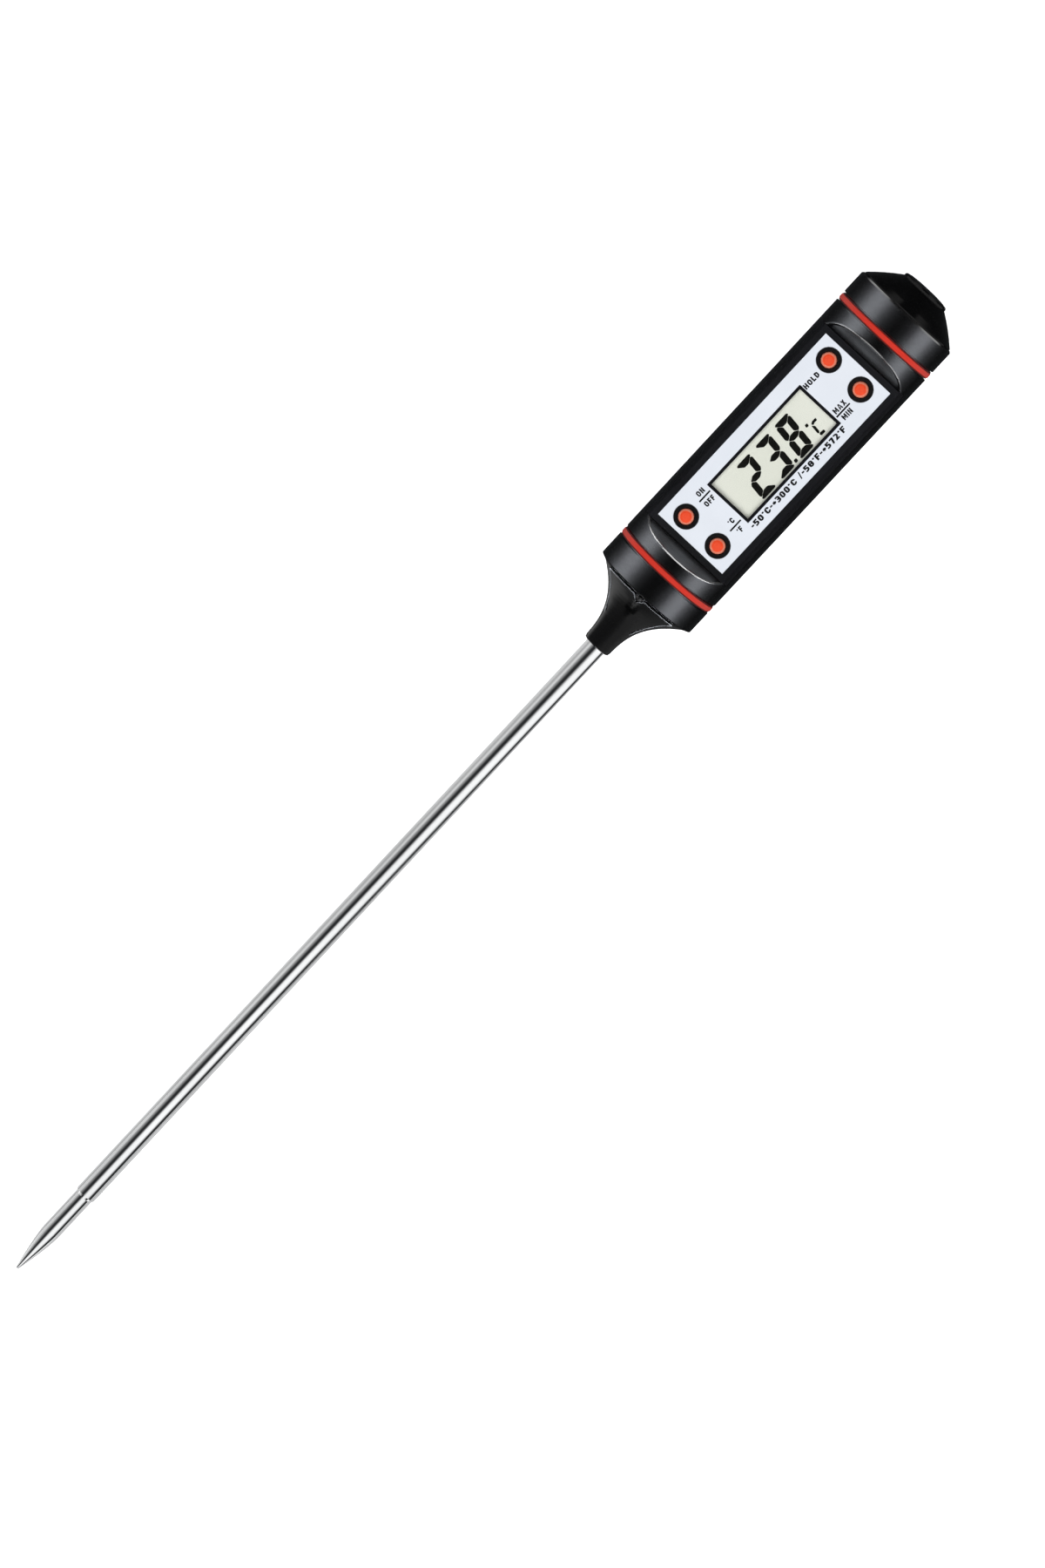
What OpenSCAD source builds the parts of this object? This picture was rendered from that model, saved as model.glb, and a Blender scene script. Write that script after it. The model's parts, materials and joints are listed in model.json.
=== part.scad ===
// Pen-shaped digital probe thermometer, lying on its back.
// X runs along the instrument from the probe tip (-X) to the battery cap (+X).
// The display faces +Z. The origin is the middle of the footprint, on the floor.

/* [Handle] */
// Outer diameter of the round handle
body_d = 21; // [20.8:0.1:21.6]
// Wall thickness of the handle tube
body_wall = 1.5; // [1.3:0.1:1.6]
// Distance from the neck's front end to the handle's rear edge
handle_l = 80.15; // [80:0.05:80.4]
// Height of the handle's axis above the anti-roll flat
axis_h = 10.05; // [10:0.01:10.2]
// Length of the battery cap behind the handle
cap_l = 5.35; // [5.2:0.05:5.6]

/* [Nose] */
// Length of the trumpet-shaped nose
nose_l = 12.6; // [12.4:0.1:12.8]
// Diameter of the neck where the probe comes out
neck_d = 5.5; // [5.4:0.1:6]
// Diameter of the nose at the seam with the handle
seam_d = 18.7; // [18.4:0.1:18.8]
// Height of the raised petals on the nose
petal_h = 0.22; // [0.15:0.01:0.3]

/* [Probe] */
// Visible length of the probe in front of the neck
probe_l = 154.5; // [120:0.5:180]
// Diameter of the main probe stem
stem_d = 4; // [3.9:0.01:4]
// Diameter of the reduced section behind the tip
swage_d = 3.5; // [3.4:0.05:3.6]
// Wall thickness of the probe tube
probe_wall = 0.3; // [0.25:0.01:0.32]
// Length of the pointed tip
tip_l = 9.3; // [8.5:0.1:10]

/* [Trim rings] */
// Visible width of each coloured ring
ring_w = 1.44; // [1.2:0.02:1.6]
// Dark gap on each side of a ring
ring_gap = 0.22; // [0.15:0.01:0.25]
// Distance of each ring from the middle of the display bay
ring_off = 27.95; // [27.8:0.05:28.1]

/* [Display bay] */
// Length of the flat bay that holds the display insert
bay_l = 45.4; // [45.2:0.1:45.6]
// Height of the bay's flat above the handle's axis
bay_h = 5.7; // [5.6:0.05:5.8]
// Length of the front scoop, at the top of the handle
front_scoop_l = 2.1; // [2:0.05:2.3]
// Length of the rear scoop, at the top of the handle
rear_scoop_l = 2.6; // [2.3:0.05:2.7]
// Length of the white face panel
panel_l = 43; // [42.6:0.1:43.2]
// Width of the white face panel
panel_w = 15.4; // [15:0.1:15.4]
// Length of the display window
win_l = 23.6; // [23:0.1:23.6]
// Width of the display window
win_w = 9.7; // [9.4:0.1:9.7]

/* [Buttons] */
// Diameter of each coloured button cap
button_d = 2.8; // [2.6:0.1:2.8]
// Outer diameter of the collar around each button
collar_d = 4.5; // [4.3:0.1:4.6]
// Distance of the buttons from the middle of the bay, along the handle
button_x = 18.45; // [18.4:0.01:18.6]
// Distance of the buttons from the middle of the bay, across the handle
button_y = 3.76; // [3.7:0.01:3.9]
// Shift of the rear pair of buttons across the handle
rear_shift = 0.35; // [0:0.05:0.4]
// Travel of a button
button_travel = 0.4; // [0.3:0.05:0.4]

/* [Battery] */
// Diameter of the button cell
cell_d = 11.6; // [11.4:0.1:11.6]
// Height of the button cell
cell_h = 5.4; // [5.2:0.1:5.4]

/* [Hidden] */

fn_big = 96;
fn_mid = 48;
fn_small = 32;
body_r = body_d / 2;
bore_r = body_r - body_wall;
thread_r = bore_r - 0.3;
total_l = probe_l + handle_l + cap_l;
neck_x = probe_l - total_l / 2;          // neck front end in the row frame
bay_x = 46.55;                           // middle of the bay, from the neck
seat_h = bay_h - 1.4;                    // underside of the display insert
pcb_lo = 0.2;                            // circuit board faces
pcb_hi = 1.2;
glass_lo = 3.2;
glass_hi = 4.8;
cell_x = 74.9;                           // front face of the cell, from the neck
bulk = 1.5;                              // wall behind each scoop
post_x = 15.3;                           // screw bosses
tube_r = stem_d / 2;
shank_r = tube_r - 0.25;                 // probe tube inside the nose

// ---------- placing helpers ----------
// Local frame: X from the neck's front end, Z from the handle's axis
module at_neck(x = 0) translate([neck_x + x, 0, axis_h]) children();
// Lathe about the X axis from [radius, x] points
module lathe(pts, fn = fn_big) rotate([0, 90, 0]) rotate_extrude($fn = fn) polygon(pts);
// Plain rod along X
module rod(r, l, fn = fn_mid) rotate([0, 90, 0]) cylinder(r = r, h = l, $fn = fn);
// Box centred in X and Y, from z0 to z1
module slab(lx, ly, z0, z1) translate([-lx / 2, -ly / 2, z0]) cube([lx, ly, z1 - z0]);
// Everything under the anti-roll flat
module under_flat() translate([-30, -20, -axis_h - 10]) cube([140, 40, 10]);
module four_buttons() for (sx = [-1, 1], sy = [-1, 1])
    translate([sx * button_x, sy * button_y + (sx > 0 ? rear_shift : 0), 0]) children();

// ---------- nose ----------
petal_end = nose_l - 0.16;               // rear edge of the petals
function nose_u(x) = x / nose_l;
function nose_r(x) = neck_d / 2 + (seam_d - neck_d) / 2
    * (0.03 * nose_u(x) + 0.97 * pow(nose_u(x), 2.75));

module nose_cone() color([0.05, 0.05, 0.055]) at_neck() difference() {
    union() {
        lathe(concat(
            [[shank_r + 0.02, 0], [neck_d / 2 - 0.4, 0], [neck_d / 2 - 0.12, 0.12]],
            [for (i = [1 : 18]) let (x = nose_l * i / 18) [nose_r(x), x]],
            [[bore_r - 0.05, nose_l], [bore_r - 0.05, nose_l + 5.6],
             [bore_r - 0.35, nose_l + 6], [7.4, nose_l + 6], [7.4, nose_l + 1.2],
             [6.2, nose_l - 0.4], [3.5, 9], [shank_r + 0.02, 9]]));
        // Raised petals on the display side and on the back
        for (side = [0, 180]) rotate([side, 0, 0]) intersection() {
            lathe(concat([[1, 4.4]],
                [for (i = [0 : 12]) let (x = 4.4 + (petal_end - 4.4) * i / 12)
                    [nose_r(x) - 0.1 + (petal_h + 0.1) * min(1, i / 6), x]],
                [[1, petal_end]]));
            translate([0, 0, 1.8]) linear_extrude(height = 9) petal_outline();
        }
    }
    translate([-1, 0, 0]) rod(shank_r + 0.02, 10.5);
    hollow_nose();
}
// Room inside the nose for the crimped collar
module hollow_nose() lathe([[0, 9], [3.5, 9], [6.2, nose_l - 0.4], [6.2, nose_l], [0, nose_l]]);
// Outline of a pair of petals, seen from above
module petal_outline() polygon(concat(
    [[4.4, 0]],
    [[4.4, 2.75], [5.6, 3.05], [6.8, 3.5], [7.8, 4], [8.8, 4.55], [9.8, 5.2],
     [10.8, 5.95], [11.5, 6.6], [12.1, 7.3], [petal_end, 7.6], [petal_end, 1.25], [11.4, 0.1]],
    [[11.4, -0.1], [petal_end, -1.25], [petal_end, -7.6], [12.1, -7.3], [11.5, -6.6],
     [10.8, -5.95], [9.8, -5.2], [8.8, -4.55], [7.8, -4], [6.8, -3.5],
     [5.6, -3.05], [4.4, -2.75]]));

// ---------- handle ----------
groove_w = ring_w + 2 * ring_gap;
front_x = bay_x - ring_off;
rear_x = bay_x + ring_off;
groove_r = body_r - 0.55;

// Hollow curve of a scoop: share of its length, share of the height above the bay
scoop_curve = [[0, 0], [0.19, 0.13], [0.34, 0.25], [0.58, 0.47], [0.79, 0.72], [0.93, 0.92],
    [1, 1.03], [1.1, 1.25]];
function scoop_points(l) = [for (p = scoop_curve) [l * p[0], bay_h + (body_r - bay_h) * p[1]]];
// Opening above the bay, seen from the side
module bay_profile(grow = 0, floor_z = 0) let (half = bay_l / 2 + grow) polygon(concat(
    [[-half, floor_z], [half, floor_z]],
    [for (p = scoop_points(rear_scoop_l)) [half + p[0], p[1]]],
    [for (i = [len(scoop_curve) - 1 : -1 : 0]) let (p = scoop_points(front_scoop_l)[i]) [-half - p[0], p[1]]]));
module bay_prism(grow, floor_z, half) translate([bay_x, half, 0]) rotate([90, 0, 0])
    linear_extrude(height = 2 * half) bay_profile(grow, floor_z);

module housing() color([0.05, 0.05, 0.055]) at_neck() difference() {
    union() {
        lathe([[bore_r, nose_l], [seam_d / 2, nose_l], [body_r - 0.2, nose_l + 0.42],
            [body_r, nose_l + 0.75],
            [body_r, front_x - groove_w / 2], [groove_r, front_x - groove_w / 2],
            [groove_r, front_x + groove_w / 2], [body_r, front_x + groove_w / 2],
            [body_r, rear_x - groove_w / 2], [groove_r, rear_x - groove_w / 2],
            [groove_r, rear_x + groove_w / 2], [body_r, rear_x + groove_w / 2],
            [body_r, handle_l - 0.3], [body_r - 0.3, handle_l],
            [bore_r + 0.4, handle_l], [bore_r + 0.4, handle_l - 1.05],
            [thread_r, handle_l - 1.05], [thread_r, 75.4], [bore_r, 75.1]]);
        // End walls behind the scoops
        intersection() {
            translate([nose_l + 6.3, 0, 0]) rod(bore_r + 0.1, 56, fn_big);
            difference() {
                bay_prism(bulk, seat_h, 9);
                translate([bay_x, 0, 0]) slab(bay_l, 30, seat_h - 1, bay_h + 8);
            }
        }
    }
    bay_prism(0, seat_h, 15);
    under_flat();
}

module trim_ring(x) at_neck(x) difference() {
    lathe([[groove_r + 0.05, -ring_w / 2], [body_r - 0.12, -ring_w / 2],
        [body_r, -ring_w / 2 + 0.12], [body_r, ring_w / 2 - 0.12],
        [body_r - 0.12, ring_w / 2], [groove_r + 0.05, ring_w / 2]]);
    under_flat();
}
module front_ring() color([0.84, 0.25, 0.2]) trim_ring(front_x);
module rear_ring() color([0.84, 0.25, 0.2]) trim_ring(rear_x);

// ---------- display insert ----------
module display_bezel() color([0.16, 0.165, 0.175]) at_neck(bay_x) difference() {
    union() {
        intersection() {
            translate([-bay_l / 2, 0, 0]) rod(body_r - 0.01, bay_l, fn_big);
            slab(bay_l - 0.1, 30, seat_h, bay_h);
        }
        // Locating ribs inside the handle
        for (s = [-1, 1]) translate([0, s * 7.2, 0]) slab(36, 0.8, seat_h - 1.4, seat_h + 0.2);
        // Bosses for the board screws
        for (s = [-1, 1]) translate([s * post_x, 0, pcb_hi]) cylinder(r = 1.5, h = seat_h - pcb_hi + 0.3, $fn = fn_small);
    }
    // Shallow recess for the face panel
    slab(panel_l, panel_w, bay_h - 0.3, bay_h + 1);
    // Display opening, wider below for the glass
    slab(win_l + 0.1, win_w + 0.1, 3.6, bay_h + 1);
    slab(24.8, 10.6, 3.6, glass_hi + 0.05);
    four_buttons() translate([0, 0, 3]) cylinder(r = collar_d / 2 + 0.05, h = 5, $fn = fn_mid);
    for (s = [-1, 1]) translate([s * post_x, 0, 1]) cylinder(r = 0.55, h = 3, $fn = fn_small);
}

module face_panel() color([0.86, 0.88, 0.93]) at_neck(bay_x) difference() {
    slab(panel_l - 0.06, panel_w - 0.06, bay_h - 0.3, bay_h + 0.05);
    slab(win_l + 0.1, win_w + 0.1, bay_h - 1, bay_h + 1);
    four_buttons() translate([0, 0, 3]) cylinder(r = collar_d / 2 + 0.05, h = 5, $fn = fn_mid);
}

// Guide collar around a button
module button_collars() color([0.03, 0.03, 0.03]) at_neck(bay_x) four_buttons()
    rotate_extrude($fn = fn_mid) polygon([[button_d / 2 + 0.1, seat_h],
        [collar_d / 2, seat_h], [collar_d / 2, bay_h + 0.2], [collar_d / 2 - 0.08, bay_h + 0.32],
        [collar_d / 2 - 0.25, bay_h + 0.38], [button_d / 2 + 0.25, bay_h + 0.38],
        [button_d / 2 + 0.1, bay_h + 0.25]]);

// Push button: dome, guided stem, retaining flange and pusher
module push_button() rotate_extrude($fn = fn_mid) polygon([[0, 2.35], [0.9, 2.35],
    [0.9, 3.7], [1.9, 3.7], [1.9, 4.2], [button_d / 2, 4.2], [button_d / 2, bay_h + 0.35],
    [button_d / 2 - 0.08, bay_h + 0.5], [button_d / 2 - 0.3, bay_h + 0.66],
    [button_d / 2 - 0.7, bay_h + 0.79], [0, bay_h + 0.86]]);
module button_at(sx, sy) color([0.95, 0.32, 0.17])
    at_neck(bay_x) translate([sx * button_x, sy * button_y + (sx > 0 ? rear_shift : 0), 0]) push_button();
module power_button() button_at(-1, 1);
module unit_button() button_at(-1, -1);
module hold_button() button_at(1, 1);
module max_min_button() button_at(1, -1);

// ---------- display stack ----------
module lcd_window() color([0.85, 0.87, 0.85, 0.35]) at_neck(bay_x) slab(win_l, win_w, 4.9, bay_h + 0.02);
// Two glass sheets, the upper one narrower so that the contact ledges show
module lcd_glass() color([0.88, 0.89, 0.84]) at_neck(bay_x) union() {
    slab(24.4, 9.95, glass_lo + 0.75, glass_hi);
    slab(24.4, 10.3, glass_lo, glass_lo + 0.8);
}
module lcd_reflector() color([0.75, 0.77, 0.74]) at_neck(bay_x) slab(22.6, 7.2, glass_lo - 0.2, glass_lo);
module lcd_holder() color([0.9, 0.9, 0.9]) at_neck(bay_x) difference() {
    slab(27, 12.6, pcb_hi, seat_h - 0.05);
    slab(24.8, 10.6, pcb_hi - 1, seat_h + 1);
}
module zebra_strips() color([0.35, 0.35, 0.38]) at_neck(bay_x)
    for (s = [-1, 1]) translate([0, s * 4.45, 0]) slab(22, 1, pcb_hi, glass_lo);

// ---------- electronics ----------
module circuit_board() color([0.1, 0.35, 0.18]) at_neck(bay_x) difference() {
    translate([-24, -7, pcb_lo]) cube([47.5, 14, pcb_hi - pcb_lo]);
    for (s = [-1, 1]) translate([s * post_x, 0, -1]) cylinder(r = 0.6, h = 4, $fn = fn_small);
}
module tact_switches() color([0.75, 0.76, 0.78]) at_neck(bay_x) four_buttons() union() {
    slab(3.2, 3.2, pcb_hi, pcb_hi + 0.45);
    translate([0, 0, pcb_hi + 0.3]) cylinder(r1 = 1.25, r2 = 0.7, h = 0.4, $fn = fn_small);
}
module controller_chip() color([0.04, 0.04, 0.04]) at_neck(bay_x)
    rotate_extrude($fn = fn_small) polygon([[0, pcb_lo], [4, pcb_lo], [3.8, pcb_lo - 0.5],
        [3, pcb_lo - 0.95], [1.6, pcb_lo - 1.2], [0, pcb_lo - 1.28]]);
module board_components() color([0.7, 0.66, 0.55]) at_neck(bay_x) union() {
    for (p = [[-9, 3.6], [-9, -3.6], [7.5, 4.4], [7.5, -4.4], [10.5, 4.4], [-12, 4.4]])
        translate([p[0], p[1], 0]) slab(1.6, 0.8, pcb_lo - 0.5, pcb_lo);
    // Clock crystal lying under the board
    translate([8, -1.6, pcb_lo - 1]) rod(1, 5, fn_small);
}
module board_screws() color([0.75, 0.75, 0.77]) at_neck(bay_x)
    for (s = [-1, 1]) translate([s * post_x, 0, 0]) difference() {
        union() {
            translate([0, 0, pcb_lo - 0.8]) cylinder(r = 1.35, h = 0.8, $fn = fn_small);
            translate([0, 0, pcb_lo - 0.2]) cylinder(r = 0.5, h = 3.6, $fn = fn_small);
        }
        for (a = [0, 90]) rotate([0, 0, a]) slab(1.5, 0.3, pcb_lo - 1, pcb_lo - 0.45);
    }

// ---------- probe ----------
swage_r = swage_d / 2;
// Slightly rounded point
function tip_r(u) = 0.3 + (swage_r - 0.3) * (1 - pow(1 - u, 1.4));
module probe_tube() color([0.82, 0.83, 0.85]) at_neck(-probe_l) lathe(concat(
    [[0, 0], [0.2, 0]],
    [for (i = [0 : 12]) let (u = i / 12) [tip_r(u), 0.12 + (tip_l - 0.12) * u]],
    [[swage_r, 18.3], [tube_r, 18.8], [tube_r, probe_l], [shank_r, probe_l], [shank_r, probe_l + 14],
     [shank_r - 0.22, probe_l + 14], [shank_r - 0.22, probe_l - 1.5], [tube_r - probe_wall, probe_l - 1.8],
     [tube_r - probe_wall, 19.6], [swage_r - probe_wall, 19.1], [swage_r - probe_wall, tip_l + 0.2],
     [1.15, 7.2], [0.8, 5.2], [0.35, 3.6], [0, 3.4]]), fn_mid);
module probe_collar() color([0.8, 0.65, 0.35]) at_neck(9.02)
    lathe([[shank_r + 0.02, 0], [3.2, 0], [3.3, 0.2], [3.3, 3], [2.9, 3.6], [shank_r + 0.02, 3.6]], fn_mid);
module thermistor_bead() color([0.25, 0.12, 0.08]) at_neck(-probe_l)
    lathe([[0, 5.6], [0.4, 5.75], [0.66, 6.2], [0.72, 6.7], [0.62, 7.2], [0.42, 7.6], [0, 7.7]], fn_small);
module tip_filler() color([0.8, 0.8, 0.78]) at_neck(-probe_l) difference() {
    lathe([[0, 3.6], [0.3, 3.8], [0.74, 5.3], [1.08, 7.3], [swage_r - probe_wall - 0.06, tip_l + 0.3],
        [swage_r - probe_wall - 0.06, 13], [0, 13]], fn_small);
    lathe([[0, 5.5], [0.45, 5.65], [0.72, 6.15], [0.78, 6.7], [0.68, 7.25], [0.5, 7.7], [0, 7.8]], fn_small);
    for (s = [-1, 1]) translate([7, s * 0.3, -0.02]) rod(0.2, 7, fn_small);
}
module sensor_leads() color([0.75, 0.2, 0.15]) at_neck(0)
    for (s = [-1, 1]) translate([-probe_l + 7.9, s * 0.3, -0.02]) rod(0.17, probe_l + 17.4, 16);
module lead_sleeve() color([0.92, 0.92, 0.9]) at_neck(-probe_l + 20) difference() {
    rod(1.3, probe_l, fn_small);
    translate([-1, 0, 0]) rod(0.9, probe_l + 2, fn_small);
}

// ---------- battery compartment ----------
floor_x = 72.4;
module battery_holder() color([0.12, 0.12, 0.13]) at_neck() difference() {
    lathe([[0, floor_x], [thread_r - 0.15, floor_x], [thread_r - 0.15, floor_x + 0.9], [6.9, floor_x + 0.9],
        [6.9, 79.6], [cell_d / 2 + 0.1, 79.6], [cell_d / 2 + 0.1, floor_x + 1], [0, floor_x + 1]]);
    // Slot for the positive contact
    translate([floor_x - 1, -1.6, 4.8]) cube([10, 3.2, 2.3]);
    // Hole for the spring's tail
    translate([floor_x - 1, -4.2, 0]) rod(0.35, 3, fn_small);
}
// Conical coil behind the cell
function coil_c(t) = let (r = 4.2 - 2 * t, a = 180 + 720 * t)
    [floor_x + 1.22 + 1.06 * t, r * cos(a), r * sin(a)];
function coil_n(t) = let (a = 180 + 720 * t) [0, cos(a), sin(a)];
coil_steps = 56;
module battery_spring() color([0.8, 0.8, 0.82]) at_neck() union() {
    polyhedron(
        points = [for (i = [0 : coil_steps], k = [0 : 7]) let (t = i / coil_steps, c = coil_c(t), n = coil_n(t), w = 45 * k + 22.5)
            c + 0.2 * (cos(w) * n + sin(w) * [1, 0, 0])],
        faces = concat(
            [[for (k = [7 : -1 : 0]) k]],
            [for (i = [0 : coil_steps - 1], k = [0 : 7])
                [i * 8 + k, i * 8 + (k + 1) % 8, (i + 1) * 8 + (k + 1) % 8, (i + 1) * 8 + k]],
            [[for (k = [0 : 7]) coil_steps * 8 + k]]));
    // Tail soldered under the circuit board
    translate([floor_x - 4.2, -4.2, -0.02]) rod(0.2, 5.4, 16);
}
module positive_contact() color([0.85, 0.8, 0.6]) at_neck() union() {
    translate([68, -1.25, pcb_hi]) cube([4.1, 2.5, 0.25]);
    translate([71.85, -1.25, pcb_hi]) cube([0.25, 2.5, 5.3]);
    translate([71.85, -1.25, 6.25]) cube([7.1, 2.5, 0.25]);
    translate([77, -0.8, 6.02]) cube([1.2, 1.6, 0.3]);
}
module battery() color([0.78, 0.79, 0.8]) at_neck(cell_x) lathe([[0, 0], [4.9, 0], [5.05, 0.15],
    [5.05, 0.4], [cell_d / 2 - 0.25, 0.45], [cell_d / 2, 0.7], [cell_d / 2, cell_h - 0.35],
    [cell_d / 2 - 0.35, cell_h], [0, cell_h]]);

// Sealing ring between the cap and the handle
module cap_seal() color([0.02, 0.02, 0.02]) at_neck(handle_l - 0.4) rotate([0, 90, 0])
    rotate_extrude($fn = fn_big) translate([bore_r, 0]) circle(r = 0.3, $fn = 24);

// Screw cap with a domed end and a coin slot
cap_x = handle_l + 0.05;
crest_r = thread_r - 0.1;
module battery_cap() color([0.05, 0.05, 0.055]) at_neck() difference() {
    lathe(concat(
        [[7.3, 75.9], [crest_r - 0.35, 75.9]],
        [for (i = [0 : 2]) each [[crest_r, 76.3 + i], [crest_r, 76.5 + i], [crest_r - 0.35, 76.9 + i]]],
        [[crest_r, 79.1], [crest_r, cap_x], [body_r - 0.5, cap_x], [body_r - 0.5, cap_x + 0.2],
         [8.85, 81.45], [7.6, 82.5], [6.3, 83.5],
         [4.95, handle_l + cap_l - 1.05], [4.75, handle_l + cap_l - 0.95],
         [4.75, handle_l + cap_l - 0.6], [4.5, handle_l + cap_l - 0.35],
         [3.6, handle_l + cap_l - 0.16], [2.2, handle_l + cap_l - 0.05], [0, handle_l + cap_l], [0, cell_x + cell_h + 0.05], [2.5, cell_x + cell_h + 0.05],
         [2.5, 82.7], [4.6, 82.7], [7.3, 80.6]]));
    // Coin slot
    translate([handle_l + cap_l - 1, -4, -0.75]) cube([5, 8, 1.5]);
}

housing();
nose_cone();
front_ring();
rear_ring();
display_bezel();
face_panel();
button_collars();
power_button();
unit_button();
hold_button();
max_min_button();
lcd_window();
lcd_glass();
lcd_reflector();
lcd_holder();
zebra_strips();
circuit_board();
tact_switches();
controller_chip();
board_components();
board_screws();
probe_tube();
probe_collar();
tip_filler();
thermistor_bead();
sensor_leads();
lead_sleeve();
battery_holder();
battery_spring();
positive_contact();
battery();
cap_seal();
battery_cap();
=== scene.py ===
import json
import math

import bmesh
import bpy
import numpy as np
from mathutils import Matrix, Vector
from mathutils.geometry import tessellate_polygon


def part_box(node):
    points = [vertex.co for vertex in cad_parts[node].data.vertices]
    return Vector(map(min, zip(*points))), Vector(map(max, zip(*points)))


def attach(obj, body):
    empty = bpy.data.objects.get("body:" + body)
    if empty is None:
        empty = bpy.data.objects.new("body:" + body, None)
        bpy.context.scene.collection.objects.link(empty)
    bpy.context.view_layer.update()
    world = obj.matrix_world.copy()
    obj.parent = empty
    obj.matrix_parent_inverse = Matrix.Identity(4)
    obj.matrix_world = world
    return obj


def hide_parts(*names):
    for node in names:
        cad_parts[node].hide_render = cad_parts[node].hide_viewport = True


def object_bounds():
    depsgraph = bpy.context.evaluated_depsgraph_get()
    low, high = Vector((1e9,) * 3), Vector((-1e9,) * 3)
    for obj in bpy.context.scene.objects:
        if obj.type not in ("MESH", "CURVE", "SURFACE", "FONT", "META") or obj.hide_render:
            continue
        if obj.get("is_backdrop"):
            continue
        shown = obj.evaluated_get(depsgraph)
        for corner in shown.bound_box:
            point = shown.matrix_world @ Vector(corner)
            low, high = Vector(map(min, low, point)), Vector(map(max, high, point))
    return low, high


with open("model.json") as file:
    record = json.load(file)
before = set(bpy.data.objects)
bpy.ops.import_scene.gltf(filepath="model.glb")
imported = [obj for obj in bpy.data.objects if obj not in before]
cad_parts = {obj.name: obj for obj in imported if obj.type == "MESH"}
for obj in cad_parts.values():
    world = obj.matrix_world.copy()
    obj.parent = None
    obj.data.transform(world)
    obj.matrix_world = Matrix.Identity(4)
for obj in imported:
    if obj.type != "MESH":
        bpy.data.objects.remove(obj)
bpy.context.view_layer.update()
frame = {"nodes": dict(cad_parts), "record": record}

scene = bpy.context.scene
nodes = frame["nodes"]
MM = 0.001

# Middle of the display bay and the handle's axis, from the CAD frame
bezel_lo, bezel_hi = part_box("display_bezel")
BAY_X = (bezel_lo.x + bezel_hi.x) / 2
ring_lo, ring_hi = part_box("front_ring")
AXIS_Z = ring_hi.z - 10.5 * MM
panel_lo, panel_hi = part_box("face_panel")
window_lo, window_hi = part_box("lcd_window")
glass_lo, glass_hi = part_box("lcd_glass")


# ------------------------------------------------------------------ camera
cam_data = bpy.data.cameras.new("Camera")
cam = bpy.data.objects.new("Camera", cam_data)
scene.collection.objects.link(cam)
cam_data.sensor_width = 36.0
cam_data.sensor_fit = "AUTO"
cam_data.lens = 124.942
cam_data.clip_start = 0.05
cam_data.clip_end = 30.0
cam_rows = [Vector((0.6751548, -0.7302861, -0.1041550)),
            Vector((0.7237228, 0.6830804, -0.0981145)),
            Vector((0.1427979, -0.0091369, 0.9897097))]
cam.matrix_world = Matrix.Translation(Vector((0.1452720, -0.0159529, 0.9646394))) @ \
    Matrix(cam_rows).transposed().to_4x4()
scene.camera = cam

scene.view_settings.view_transform = "Standard"
scene.view_settings.look = "None"
scene.view_settings.exposure = 0.0
scene.view_settings.gamma = 1.0


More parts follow.
